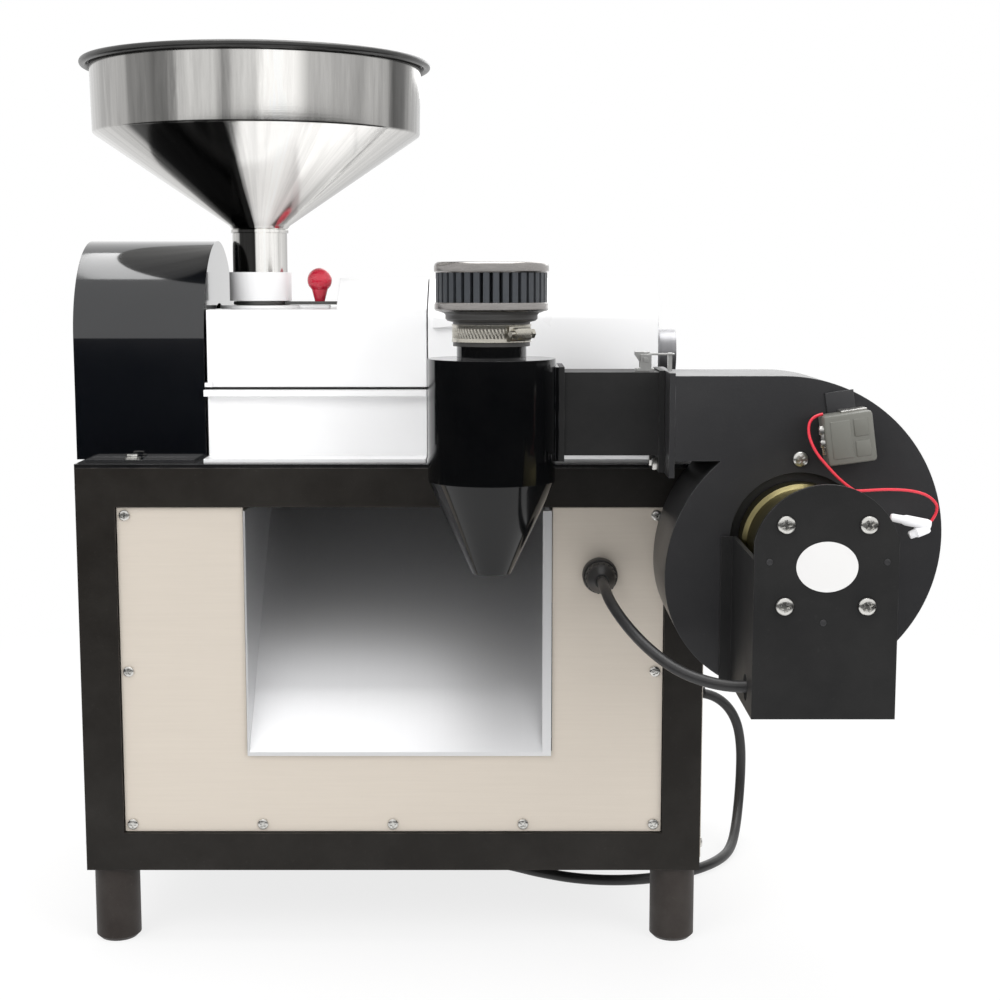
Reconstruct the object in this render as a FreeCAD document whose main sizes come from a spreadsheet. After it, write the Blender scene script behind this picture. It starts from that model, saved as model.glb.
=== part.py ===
import FreeCAD, Part
import math
import os
import re
import Sketcher

# Coffee bean huller on a square-tube stand. Lengths are millimetres, angles are degrees.
# Places are measured from the middle of the stand (x), from the stand's front face backwards (y) and
# from the floor (z). The finished part is then moved so that its origin is under the middle of its box.

doc = FreeCAD.newDocument("CoffeeHuller")
sheet = doc.addObject("Spreadsheet::Sheet", "Sizes")

sizes = {
    # where the origin lies, seen from the middle of the stand's front face
    "origin_x": 72.3, "origin_y": 63.35,
    # small gaps and the overrun of cuts
    "slip_gap": 0.3, "run_gap": 0.05, "overrun": 5.0,
    # stand
    "stand_width": 480.0, "stand_depth": 330.0, "tube_side": 30.0, "stand_top": 377.0,
    "foot_height": 60.0, "foot_radius": 17.5, "foot_inset": 2.0, "foot_edge": 3.0,
    "ledge_width": 13.0, "ledge_thick": 3.0, "ledge_recess": 3.0,
    "cross_left_x": -40.0, "cross_right_x": 80.0,
    # deck plate
    "deck_thick": 3.0, "belt_slot_side": 5.0, "belt_slot_front": 66.0, "belt_slot_back": 190.0,
    "drop_left": 45.0, "drop_right": 105.0, "drop_front": 75.0, "drop_back": 145.0,
    # panels and their screws
    "panel_thick": 1.5, "panel_gap": 0.6, "panel_lap": 22.0,
    "mouth_left": -113.0, "mouth_right": 124.0, "mouth_sill": 155.0,
    "vent_length": 90.0, "vent_width": 6.0, "vent_pitch": 16.0, "vent_first": 180.0, "vent_count": 6.0,
    "screw_head_radius": 4.5, "screw_head_height": 2.6, "screw_shank_radius": 2.2,
    "screw_edge": 6.0, "lap_screw_edge": 17.0,
    # chute
    "chute_wall": 1.5, "chute_back": 165.0, "chute_back_level": 348.0, "chute_top": 344.0,
    "chute_lip": 7.0,
    # hulling shaft and what it carries
    "axis_y": 110.0, "axis_z": 460.0, "shaft_radius": 10.0, "shaft_left": -222.0, "shaft_right": 226.0,
    "screw_left": -129.0, "screw_right": -39.0, "screw_core": 14.0, "flight_radius": 27.0,
    "flight_thick": 4.0, "flight_pitch": 38.0,
    "roller_left": -38.0, "roller_right": 24.0, "roller_radius": 34.0, "roller_groove": 3.0,
    "roller_groove_width": 5.0, "roller_grooves": 12.0, "shaft_edge": 1.0,
    # pulleys and belts
    "pulley_x": -195.0, "belt_pitch": 16.0, "belt_top": 11.0, "belt_bottom": 6.4, "belt_height": 8.0,
    "belt_gap": 0.35, "head_belt_radius": 45.0, "drive_belt_radius": 25.0, "pulley_side": 5.0,
    "pulley_rim": 1.0, "hub_radius": 19.0, "web_thick": 12.0,
    # main motor
    "motor_y": 190.0, "motor_z": 176.0, "motor_radius": 62.0, "motor_left": -70.0, "motor_right": 100.0,
    "motor_shaft_radius": 9.5, "bell_length": 18.0, "bell_radius": 55.0, "cowl_length": 42.0,
    "fin_height": 5.0, "fin_width": 3.0, "motor_fins": 22.0, "motor_foot_reach": 62.0,
    "motor_foot_thick": 10.0,
    "motor_foot_length": 24.0, "motor_foot_edge": 22.0, "motor_plate_thick": 4.0,
    "motor_plate_edge": 14.0,
    "box_length": 70.0, "box_width": 56.0, "box_height": 30.0, "box_lid": 2.0,
    # belt guard
    "guard_left": -246.0, "guard_right": -145.0, "guard_front": 34.0, "guard_back": 186.0,
    "guard_spring": 474.0, "guard_wall": 1.5, "guard_foot": 22.0, "guard_foot_thick": 2.0,
    "guard_bolt_x": -200.0, "guard_hole": 40.0, "guard_edge": 6.0,
    # hulling head casing
    "head_left": -143.0, "cover_right": 27.0, "head_front": 35.0, "head_back": 185.0, "head_wall": 4.0,
    "seam_level": 434.5, "lip_thick": 5.0, "lip_reach": 8.0, "base_lip_front": 26.0, "base_lip_back": 18.0,
    "base_lip_thick": 3.0, "ear_reach": 2.0, "gasket_thick": 1.6, "head_top": 496.0, "hump_left": -43.0,
    "hump_top": 520.0, "hump_inset": 38.0, "hump_round": 12.0, "cover_round": 5.0,
    "end_plate_left": -136.0, "end_plate_thick": 4.0, "chamber_radius": 36.5, "chamber_wall": 3.0,
    "feed_radius": 30.0, "trough_wall": 2.0, "shaft_hole": 13.0,
    # cover hinge
    "hinge_y": 198.0, "hinge_z": 438.5, "knuckle_radius": 4.0, "pin_radius": 2.0, "knuckle_length": 14.0,
    "hinge_left_x": -112.0, "hinge_right_x": -2.0, "knuckle_gap": 0.4,
    # discharge box
    "box_left": 28.0, "box_right": 206.0, "box_wall": 3.0, "suction_low": 388.0, "suction_high": 424.0,
    "suction_front": 52.0, "suction_back": 114.0,
    # flange bearings
    "bearing_radius": 27.0, "bearing_flange": 6.0, "bearing_length": 20.0, "bearing_nose": 19.0,
    # screen slots
    "slot_width": 3.0, "slot_length": 22.0, "slot_count": 8.0,
    # hulling blade
    "blade_width": 14.0, "blade_gap": 1.0, "blade_stem": 5.0, "liner_hole_share": 0.9,
    # hopper
    "hopper_x": -111.0, "hopper_y": 110.0, "rim_level": 691.0, "rim_radius": 136.5, "rim_bead": 2.4,
    "crease_level": 634.0, "crease_radius": 130.0, "neck_level": 561.0, "neck_radius": 22.0,
    "neck_bottom": 507.0, "hopper_wall": 1.2,
    # spout and gate
    "spout_radius": 25.0, "spout_bore": 22.4, "spout_top": 525.0, "gate_level": 499.0, "gate_thick": 2.5,
    "gate_slot_gap": 0.5, "slot_back_share": 0.55, "gate_pivot_x": -63.0, "gate_arm": 8.0, "gate_tail": 18.0,
    "knob_radius": 10.0, "knob_level": 518.5, "knob_neck_low": 4.0, "knob_neck_high": 6.5,
    "knob_low_share": 0.75, "knob_side_share": 0.866,
    "spout_foot_radius": 33.0, "gate_boss": 8.0,
    # outlet flap
    "flap_x": 40.0, "flap_pivot_level": 486.0, "flap_low": 478.0, "flap_thick": 2.0, "flap_width": 60.0,
    "flap_pin": 3.0, "lever_length": 26.0, "lever_height": 8.0, "lever_thick": 4.0,
    # fan scroll
    "scroll_x": 282.0, "scroll_z": 340.0, "scroll_radius": 112.5, "scroll_low_radius": 82.0,
    "scroll_left_radius": 110.0, "outlet_x": 206.0, "outlet_low": 393.0, "scroll_wall": 1.5,
    "scroll_front": -100.0, "scroll_back": -10.0, "front_plate": 2.0, "fan_x": 294.0, "fan_z": 336.5,
    "motor_opening": 48.6, "fan_inlet": 32.0, "flange_thick": 4.0, "flange_reach": 12.0,
    # impeller
    "wheel_radius": 72.0, "wheel_plate": 2.0, "blade_inner": 36.0, "blade_thick": 2.0,
    "wheel_front": -92.0, "wheel_back": -22.0, "wheel_hub": 13.0, "fan_shaft": 5.0, "blade_count": 12.0,
    "blade_tip_share": 0.92,
    "blade_lean_share": 0.38,
    # fan motor and its bracket
    "bracket_front": -204.0, "bracket_thick": 3.0, "bracket_half": 46.8, "bracket_low": 235.0,
    "bracket_shoulder": 352.0, "bracket_rise": 37.0, "bracket_arch": 48.4, "bracket_side_top": 340.0,
    "bracket_foot": 8.0, "fan_motor_radius": 42.0, "fan_motor_rim": 3.0, "bracket_screw": 26.6,
    "bracket_head_radius": 5.7, "bracket_head_height": 3.4, "cable_hole": 9.0, "cable_y": -175.3,
    "cable_z": 249.6, "boss_radius": 7.0, "boss_reach": 44.5,
    # capacitor
    "cap_x": 324.0, "cap_z": 411.0, "cap_width": 34.0, "cap_height": 35.0, "cap_depth": 22.0,
    "cap_turn": 8.0, "cap_edge": 3.0, "tab_width": 20.0, "tab_height": 14.0, "tab_thick": 1.5,
    # duct and cyclone
    "duct_front": -61.0, "duct_back": -13.0, "duct_top": 453.0, "duct_left": 126.0, "duct_wall": 1.5,
    "duct_flange_left": 4.0, "cyclone_x": 77.6, "cyclone_y": -61.0, "cyclone_radius": 46.0,
    "cyclone_top": 463.0, "cyclone_waist": 375.0, "cyclone_low": 307.0, "cyclone_outlet": 14.5,
    "cyclone_wall": 1.5, "cyclone_gap": 4.0, "pipe_radius": 25.0, "pipe_top": 484.0, "pipe_low": 400.0,
    # filter
    "sleeve_low": 472.0, "sleeve_wall": 2.5, "base_low": 488.0, "base_level": 495.5, "filter_radius": 41.0,
    "base_ring_top": 503.0, "cap_low": 524.0, "filter_top": 531.5, "filter_core": 26.0, "pleat_depth": 7.0,
    "pleats": 36.0, "clamp_low": 475.0, "clamp_width": 12.5, "clamp_thick": 0.9, "clamp_box": 20.0,
    "clamp_box_height": 8.0, "clamp_box_width": 9.0,
    # draw latch between duct and fan
    "latch_y": -37.0, "latch_width": 14.0, "latch_base_left": 183.0, "latch_base_right": 196.0,
    "latch_base_thick": 2.0, "latch_pivot_x": 190.0, "latch_pivot_level": 461.0, "latch_pin": 2.0,
    "latch_lever_length": 8.0, "latch_wire": 1.2, "catch_x": 208.0, "catch_height": 13.0,
    "catch_thick": 3.0,
    # flange bolts
    "bolt_head_radius": 5.0, "bolt_head_height": 3.5, "bolt_drop": 7.0,
    # suction duct
    "suction_right": 340.0, "suction_clear": 10.0, "suction_floor": 296.0, "suction_roof": 430.0,
    "suction_rear": 120.0, "suction_wall": 2.0, "suction_underside": 384.0,
    # glands, switch
    "gland_x": 160.2, "gland_z": 294.5, "gland_radius": 13.5, "gland_nut": 10.0, "gland_dome": 10.0,
    "gland_tail": 10.0, "gland_inside": 10.0, "gland_lap": 2.5,
    "side_gland_back": 75.0, "side_gland_z": 140.0, "cord_radius": 4.5,
    "switch_y": 90.0, "switch_z": 300.0, "switch_width": 30.0, "switch_height": 22.0, "switch_rim": 2.0,
    "switch_depth": 20.0, "rocker_width": 26.0, "rocker_height": 18.0, "rocker_proud": 3.5,
    # cords, coil and plug
    "fan_cable_radius": 4.0, "lead_radius": 1.0, "coil_x": 44.0, "coil_y": 236.6, "coil_outer": 58.6,
    "coil_pitch": 9.6, "coil_turns": 2.0, "coil_tail": 45.0, "plug_edge": 2.0, "plug_neck": 20.0,
    "plug_radius": 14.0, "plug_length": 30.0, "plug_pin_spacing": 19.0, "plug_pin_radius": 2.4,
    "pin_length": 19.0, "crimp_x": 351.5, "crimp_y": -133.0, "crimp_z": 354.0, "crimp_radius": 3.0,
    "crimp_length": 26.0,
}


def fill_sheet():
    for row, (alias, value) in enumerate(sizes.items(), start=1):
        sheet.set("A%d" % row, alias)
        sheet.set("B%d" % row, repr(value))
        sheet.setAlias("B%d" % row, alias)
    doc.recompute()


fill_sheet()


def formula(text):
    # puts the sheet's name before each size in a formula
    words = re.split(r"([A-Za-z_][A-Za-z_0-9]*)", text)
    return "".join("Sizes." + word if word in sizes else word for word in words)


def number(text):
    return float(sheet.evalExpression(formula(text)))


def bind(item, prop, text):
    item.setExpression(prop, formula(text))


def place(item, x="0", y="0", z="0"):
    # moves a piece from the stand's frame to the part's own frame
    bind(item, "Placement.Base.x", "%s - origin_x" % x)
    bind(item, "Placement.Base.y", "%s - origin_y" % y)
    bind(item, "Placement.Base.z", z)


pieces = []
# bolts, screws and pins that share one node
fasteners = []
# how much of the shorter of two runs an arc may take, and a step too small to matter
run_share = 0.45
side_gland_shares = (0.3, 0.3, 0.6)
tiny_share = 1e-4


def finished(item, label):
    item.Label = label
    pieces.append(item)
    return item


def plain_body(name, x="0", y="0", z="0"):
    item = doc.addObject("PartDesign::Body", name)
    place(item, x, y, z)
    return item


def body(label, x="0", y="0", z="0"):
    # a body that is a node by itself
    return finished(plain_body(label, x, y, z), label)


def pin(sketch, edge, end, across, up):
    for kind, text, axis in (("DistanceX", across, -2), ("DistanceY", up, -1)):
        if text == "0":
            sketch.addConstraint(Sketcher.Constraint("PointOnObject", edge, end, axis))
        else:
            spot = sketch.addConstraint(Sketcher.Constraint(kind, -1, 1, edge, end, number(text)))
            bind(sketch, "Constraints[%d]" % spot, text)


def arc_between(start, end, radius, turn):
    # a turn of 1 runs anticlockwise from start to end, -1 clockwise
    half = end.sub(start).multiply(1 / 2)
    side = FreeCAD.Vector(-half.y, half.x, 0).normalize()
    reach = math.sqrt(max(radius ** 2 - half.Length ** 2, 0))
    centre = start.add(half).add(side.multiply(turn * reach))
    first, last = (start, end) if turn > 0 else (end, start)
    angle_first = math.atan2(first.y - centre.y, first.x - centre.x)
    angle_last = math.atan2(last.y - centre.y, last.x - centre.x)
    circle = Part.Circle(centre, FreeCAD.Vector(0, 0, 1), radius)
    return Part.ArcOfCircle(circle, angle_first, angle_last)


def outline(sketch, points):
    # a closed outline: each point is (across, up), or (across, up, radius, turn) to leave it on an arc
    first = sketch.GeometryCount
    spots = [FreeCAD.Vector(number(point[0]), number(point[1]), 0) for point in points]
    ends = []
    for place_number, point in enumerate(points):
        here = spots[place_number]
        there = spots[(place_number + 1) % len(points)]
        if len(point) == 2:
            sketch.addGeometry(Part.LineSegment(here, there), False)
            ends.append((1, 2))
        else:
            sketch.addGeometry(arc_between(here, there, number(point[2]), point[3]), False)
            ends.append((1, 2) if point[3] > 0 else (2, 1))
    for place_number, point in enumerate(points):
        following = (place_number + 1) % len(points)
        sketch.addConstraint(Sketcher.Constraint("Coincident", first + place_number, ends[place_number][1],
                                                 first + following, ends[following][0]))
    for place_number, point in enumerate(points):
        pin(sketch, first + place_number, ends[place_number][0], point[0], point[1])
        if len(point) == 4:
            spot = sketch.addConstraint(Sketcher.Constraint("Radius", first + place_number, number(point[2])))
            bind(sketch, "Constraints[%d]" % spot, point[2])


def circles(sketch, rounds):
    for across, up, radius in rounds:
        centre = FreeCAD.Vector(number(across), number(up), 0)
        edge = sketch.addGeometry(Part.Circle(centre, FreeCAD.Vector(0, 0, 1), number(radius)), False)
        pin(sketch, edge, 3, across, up)
        spot = sketch.addConstraint(Sketcher.Constraint("Radius", edge, number(radius)))
        bind(sketch, "Constraints[%d]" % spot, radius)


planes = {"x": "YZ_Plane", "y": "XZ_Plane", "z": "XY_Plane"}


def new_sketch(owner, normal, start="0"):
    # a sketch square to one axis, lying at start along that axis
    sketch = owner.newObject("Sketcher::SketchObject", "%s_sketch" % owner.Name)
    plane = [item for item in owner.Origin.OriginFeatures if item.Role == planes[normal]][0]
    sketch.AttachmentSupport = (plane, [""])
    sketch.MapMode = "FlatFace"
    if start != "0":
        sign = "-" if normal == "y" else ""
        bind(sketch, "AttachmentOffset.Base.z", "%s(%s)" % (sign, start))
    return sketch


def drawn(owner, normal, start, points, rounds):
    sketch = new_sketch(owner, normal, start)
    if points:
        outline(sketch, points)
    circles(sketch, rounds)
    doc.recompute()
    return sketch


def pad(owner, normal, start, length, points=(), rounds=()):
    # grows a profile from start towards the positive end of the axis
    sketch = drawn(owner, normal, start, points, rounds)
    feature = owner.newObject("PartDesign::Pad", "%s_pad" % owner.Name)
    feature.Profile = sketch
    bind(feature, "Length", length)
    feature.Reversed = normal == "y"
    doc.recompute()
    return feature


def pocket(owner, normal, start, length, points=(), rounds=()):
    # cuts a profile from start towards the positive end of the axis
    before = owner.Shape.Volume
    sketch = drawn(owner, normal, start, points, rounds)
    feature = owner.newObject("PartDesign::Pocket", "%s_pocket" % owner.Name)
    feature.Profile = sketch
    bind(feature, "Length", length)
    feature.Reversed = normal != "y"
    doc.recompute()
    if not owner.Shape.Volume < before:
        raise RuntimeError("%s: a pocket cut nothing" % owner.Label)
    return feature


def turned(owner, kind, normal, axis, points):
    sketch = drawn(owner, normal, "0", points, ())
    feature = owner.newObject("PartDesign::%s" % kind, "%s_%s" % (owner.Name, kind.lower()))
    feature.Profile = sketch
    feature.ReferenceAxis = (sketch, [axis])
    feature.Angle = 360
    doc.recompute()
    return feature


def ring_pattern(owner, feature, axis_role, count):
    pattern = owner.newObject("PartDesign::PolarPattern", "%s_ring" % owner.Name)
    pattern.Originals = [feature]
    axis = [item for item in owner.Origin.OriginFeatures if item.Role == axis_role][0]
    pattern.Axis = (axis, [""])
    pattern.Angle = 360
    bind(pattern, "Occurrences", count)
    owner.Tip = pattern
    doc.recompute()
    return pattern


def row_pattern(owner, feature, axis_role, count, length):
    pattern = owner.newObject("PartDesign::LinearPattern", "%s_row" % owner.Name)
    pattern.Originals = [feature]
    axis = [item for item in owner.Origin.OriginFeatures if item.Role == axis_role][0]
    pattern.Direction = (axis, [""])
    bind(pattern, "Length", length)
    bind(pattern, "Occurrences", count)
    owner.Tip = pattern
    doc.recompute()
    return pattern


def edges_where(shape, test):
    return ["Edge%d" % spot for spot, edge in enumerate(shape.Edges, start=1) if test(edge)]


def rounded(owner, radius, test, kind="Fillet"):
    tip = owner.Tip
    feature = owner.newObject("PartDesign::%s" % kind, "%s_%s" % (owner.Name, kind.lower()))
    feature.Base = (tip, edges_where(tip.Shape, test))
    bind(feature, "Radius" if kind == "Fillet" else "Size", radius)
    doc.recompute()
    return feature


def runs_along(edge, axis):
    # true for a straight edge along x, y or z
    box = edge.BoundBox
    spans = {"x": box.XLength, "y": box.YLength, "z": box.ZLength}
    longest = spans.pop(axis)
    return longest > max(spans.values()) * len(sizes)


def block(name, corner, lengths):
    item = doc.addObject("Part::Box", name)
    place(item, *corner)
    for prop, text in zip(("Length", "Width", "Height"), lengths):
        bind(item, prop, text)
    return item


turns = {"x": FreeCAD.Rotation(FreeCAD.Vector(0, 1, 0), 90),
         "y": FreeCAD.Rotation(FreeCAD.Vector(1, 0, 0), -90),
         "z": FreeCAD.Rotation()}


def rod(name, axis, foot, radius, length):
    item = doc.addObject("Part::Cylinder", name)
    item.Placement.Rotation = turns[axis]
    place(item, *foot)
    bind(item, "Radius", radius)
    bind(item, "Height", length)
    return item


def joined(name, parts):
    item = doc.addObject("Part::MultiFuse", name)
    item.Shapes = parts
    item.Refine = True
    return item


def grouped(label, parts):
    item = doc.addObject("Part::Compound", label)
    item.Links = parts
    return finished(item, label)


def screw(name, axis, foot, head_towards, length, head_radius="screw_head_radius",
          head_height="screw_head_height"):
    # foot lies on the face that the head bears on; the head stands towards -1 or +1 of the axis,
    # and the shank fills the hole of the sheet that it holds
    spot = "xyz".index(axis)
    head_foot = list(foot)
    shank_foot = list(foot)
    if head_towards < 0:
        head_foot[spot] = "%s - %s" % (foot[spot], head_height)
    else:
        shank_foot[spot] = "%s - %s" % (foot[spot], length)
    head = rod("%s_head" % name, axis, head_foot, head_radius, head_height)
    shank = rod("%s_shank" % name, axis, shank_foot, "screw_shank_radius", length)
    return joined(name, [head, shank])


def rectangle(left, low, right, high):
    return [(left, low), (right, low), (right, high), (left, high)]


def stand_frame():
    # two welded rings, front and back, tied by rails along the sides and two cross members
    half = "stand_width / 2"
    ring = rectangle("-" + half, "foot_height", half, "stand_top")
    inner = rectangle("-%s + tube_side" % half, "foot_height + tube_side",
                      "%s - tube_side" % half, "stand_top - tube_side")
    front = body("front_frame")
    pad(front, "y", "0", "tube_side", ring)
    pocket(front, "y", "0", "tube_side", inner)
    # narrow ledges behind the panel take its screws
    side = half + " - tube_side"
    floor = "foot_height + tube_side"
    roof = "stand_top - tube_side"
    ledge = [("-(%s)" % side, roof), ("-(%s)" % side, floor), (side, floor), (side, roof),
             (side + " - ledge_width", roof), (side + " - ledge_width", floor + " + ledge_width"),
             ("ledge_width - (%s)" % side, floor + " + ledge_width"), ("ledge_width - (%s)" % side, roof)]
    pad(front, "y", "panel_thick + ledge_recess", "ledge_thick", ledge)
    back = body("rear_frame", y="stand_depth - tube_side")
    pad(back, "y", "0", "tube_side", ring)
    pocket(back, "y", "0", "tube_side", inner)
    length = "stand_depth - 2 * tube_side"
    rails = []
    for name, left in (("left", "-" + half), ("right", half + " - tube_side")):
        for level, low in (("low", "foot_height"), ("high", "stand_top - tube_side")):
            rails.append(block("rail_%s_%s" % (name, level), (left, "tube_side", low),
                               ("tube_side", length, "tube_side")))
    for name, middle in (("left", "cross_left_x"), ("right", "cross_right_x")):
        rails.append(block("cross_%s" % name, (middle + " - tube_side / 2", "tube_side", "foot_height"),
                           ("tube_side", length, "tube_side")))
    grouped("side_rails", rails)


def feet():
    group = []
    for side in ("-", ""):
        for middle in ("foot_inset + foot_radius", "stand_depth - foot_inset - foot_radius"):
            foot = plain_body("foot", x="%s(stand_width / 2 - foot_inset - foot_radius)" % side, y=middle)
            turned(foot, "Revolution", "y", "V_Axis",
                   [("0", "0"), ("foot_radius - foot_edge", "0"), ("foot_radius", "foot_edge"),
                    ("foot_radius", "foot_height"), ("0", "foot_height")])
            group.append(foot)
    grouped("feet", group)


def deck():
    plate = body("deck_plate")
    pad(plate, "z", "stand_top", "deck_thick",
        rectangle("-stand_width / 2", "0", "stand_width / 2", "stand_depth"))
    slot_half = "(belt_pitch / 2 + belt_top / 2 + belt_slot_side)"
    belt_slot = rectangle("pulley_x - " + slot_half, "belt_slot_front", "pulley_x + " + slot_half,
                          "belt_slot_back")
    drop = rectangle("drop_left", "drop_front", "drop_right", "drop_back")
    for opening in (belt_slot, drop):
        pocket(plate, "z", "stand_top", "deck_thick", opening)


def panels():
    half = "(stand_width / 2 - tube_side - panel_gap)"
    low = "foot_height + tube_side + panel_gap"
    high = "stand_top - tube_side - panel_gap"
    front = body("front_panel")
    pad(front, "y", "ledge_recess", "panel_thick",
        [("-" + half, low), (half, low), (half, high), ("mouth_right", high), ("mouth_right", "mouth_sill"),
         ("mouth_left", "mouth_sill"), ("mouth_left", high), ("-" + half, high)])
    holes = [("gland_x", "gland_z", "gland_radius - gland_lap")]
    holes += [(across, level, "screw_shank_radius + run_gap") for across, level in screw_spots()]
    pocket(front, "y", "0", "tube_side", rounds=holes)
    lap_low = "foot_height + tube_side - panel_lap"
    lap_high = "stand_top - tube_side + panel_lap"
    side_sheet = rectangle("tube_side - panel_lap", lap_low, "stand_depth - tube_side + panel_lap", lap_high)
    for name, left in (("left_panel", "-stand_width / 2 - panel_thick"), ("right_panel", "stand_width / 2")):
        side = body(name)
        pad(side, "x", left, "panel_thick", side_sheet)
        pocket(side, "x", left, "panel_thick", rounds=lap_holes("lap_screw_edge",
                                                                "stand_depth - lap_screw_edge"))
        if name == "right_panel":
            pocket(side, "x", left, "panel_thick",
                   rounds=[("stand_depth - side_gland_back", "side_gland_z", "gland_radius - gland_lap")])
            pocket(side, "x", left, "panel_thick",
                   rectangle("switch_y - switch_width / 2", "switch_z - switch_height / 2",
                             "switch_y + switch_width / 2", "switch_z + switch_height / 2"))
        else:
            vents(side, "x", left, "stand_depth / 2")
    rear = body("rear_panel")
    reach = "(stand_width / 2 - tube_side + panel_lap)"
    pad(rear, "y", "stand_depth", "panel_thick", rectangle("-" + reach, lap_low, reach, lap_high))
    pocket(rear, "y", "stand_depth", "panel_thick",
           rounds=lap_holes("lap_screw_edge - stand_width / 2", "stand_width / 2 - lap_screw_edge"))
    vents(rear, "y", "stand_depth", "0")


def lap_holes(*places):
    return [(across, level, "screw_shank_radius + run_gap") for across in places
            for level in ("foot_height + lap_screw_edge", "stand_top - lap_screw_edge")]


def vents(owner, normal, start, middle):
    first = pocket(owner, normal, start, "panel_thick",
                   rectangle("%s - vent_length / 2" % middle, "vent_first",
                             "%s + vent_length / 2" % middle, "vent_first + vent_width"))
    row_pattern(owner, first, "Z_Axis", "vent_count", "vent_pitch * (vent_count - 1)")


def screw_spots():
    # the front panel's screws: three down each side and three more along the foot
    right = "stand_width / 2 - tube_side - panel_gap - screw_edge"
    low = "foot_height + tube_side + panel_gap + screw_edge"
    high = "stand_top - tube_side - panel_gap - screw_edge"
    middle = "foot_height / 2 + stand_top / 2"
    spots = [("%s(%s)" % (sign, right), level) for sign in ("-", "") for level in (low, middle, high)]
    spots += [("%s * (%s) / 2" % (share, right), low) for share in (-1, 0, 1)]
    return spots


def panel_screws():
    group = []
    for across, level in screw_spots():
        group.append(screw("front_screw", "y", (across, "ledge_recess", level), -1, "panel_thick"))
    for sign, left in ((-1, "-stand_width / 2 - panel_thick"), (1, "stand_width / 2 + panel_thick")):
        for across, level, radius in lap_holes("lap_screw_edge", "stand_depth - lap_screw_edge"):
            group.append(screw("side_screw", "x", (left, across, level), sign, "panel_thick"))
    for across, level, radius in lap_holes("lap_screw_edge - stand_width / 2",
                                           "stand_width / 2 - lap_screw_edge"):
        group.append(screw("rear_screw", "y", (across, "stand_depth + panel_thick", level), 1, "panel_thick"))
    grouped("panel_screws", group)


def chute():
    # a sloping floor between two side walls, turned out in a lip at the right
    tray = body("chute")
    fall = "(chute_back_level - mouth_sill) / chute_back"
    floor = [("0", "mouth_sill"), ("chute_back", "chute_back_level"),
             ("chute_back", "chute_back_level - 2 * chute_wall"), ("0", "mouth_sill - 2 * chute_wall")]
    inside = "mouth_right - mouth_left - 2 * panel_gap"
    pad(tray, "x", "mouth_left + panel_gap", inside, floor)
    wall = [("0", "mouth_sill"), ("chute_back - (chute_back_level - chute_top) / (%s)" % fall, "chute_top"),
            ("0", "chute_top")]
    pad(tray, "x", "mouth_left + panel_gap", "chute_wall", wall)
    pad(tray, "x", "mouth_right - panel_gap - chute_wall", "chute_wall", wall)
    pad(tray, "y", "0", "chute_wall",
        rectangle("mouth_right - panel_gap - chute_lip", "mouth_sill", "mouth_right - panel_gap",
                  "chute_top"))


def belt_guard():
    # a bent arch with two end plates, open below, on two feet that are bolted to the deck
    guard = body("belt_guard")
    deck_top = "stand_top + deck_thick"
    radius = "(guard_back - guard_front) / 2"
    arch = [("guard_front", deck_top), ("guard_back", deck_top),
            ("guard_back", "guard_spring", radius, 1),
            ("guard_front / 2 + guard_back / 2", "guard_spring + " + radius, radius, 1),
            ("guard_front", "guard_spring")]
    pad(guard, "x", "guard_left", "guard_right - guard_left", arch)
    small = "(%s - guard_wall)" % radius
    hollow = [("guard_front + guard_wall", deck_top), ("guard_back - guard_wall", deck_top),
              ("guard_back - guard_wall", "guard_spring", small, 1),
              ("guard_front / 2 + guard_back / 2", "guard_spring + " + small, small, 1),
              ("guard_front + guard_wall", "guard_spring")]
    pocket(guard, "x", "guard_left + guard_wall", "guard_right - guard_left - 2 * guard_wall", hollow)
    pocket(guard, "x", "guard_right - 2 * guard_wall", "4 * guard_wall",
           rounds=[("axis_y", "axis_z", "guard_hole")])
    for low, high in (("guard_front - guard_foot", "guard_front + guard_wall / 2"),
                      ("guard_back - guard_wall / 2", "guard_back + guard_foot")):
        pad(guard, "z", deck_top, "guard_foot_thick",
            rectangle("guard_left + 2 * guard_edge", low, "guard_right - guard_edge", high))
    pocket(guard, "z", deck_top, "guard_foot_thick",
           rounds=[("guard_bolt_x", "guard_front - guard_foot / 2", "screw_shank_radius + run_gap")])
    pocket(guard, "z", deck_top, "guard_foot_thick",
           rounds=[("guard_bolt_x", "guard_back + guard_foot / 2", "screw_shank_radius + run_gap")])
    top = deck_top + " + guard_foot_thick"
    for middle in ("guard_front - guard_foot / 2", "guard_back + guard_foot / 2"):
        fasteners.append(screw("guard_bolt", "z", ("guard_bolt_x", middle, top), 1, "guard_foot_thick",
                               "bolt_head_radius", "bolt_head_height"))


def groove_profile(bottom_radius, side):
    # one V groove cut from the rim down to just below the belt, seen along the pulley's axis
    half_top = "(belt_top / 2 + belt_gap)"
    half_bottom = "(belt_bottom / 2 + belt_gap)"
    top = "(%s + belt_height + pulley_rim)" % bottom_radius
    middle = "(%s * belt_pitch / 2)" % side
    return [("%s - %s" % (middle, half_bottom), "%s - belt_gap" % bottom_radius),
            ("%s + %s" % (middle, half_bottom), "%s - belt_gap" % bottom_radius),
            ("%s + %s" % (middle, half_top), top), ("%s - %s" % (middle, half_top), top)]


def pulley(label, y, z, belt_radius, bore):
    # belt_radius is the radius of the belt's inner face on this pulley
    wheel = body(label, x="pulley_x", y=y, z=z)
    half = "(belt_pitch / 2 + belt_top / 2 + pulley_side)"
    rim = "(%s + belt_height + pulley_rim)" % belt_radius
    turned(wheel, "Revolution", "y", "H_Axis",
           [("-" + half, bore), (half, bore), (half, rim), ("-" + half, rim)])
    for side in (-1, 1):
        turned(wheel, "Groove", "y", "H_Axis", groove_profile(belt_radius, side))
    return wheel


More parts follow.
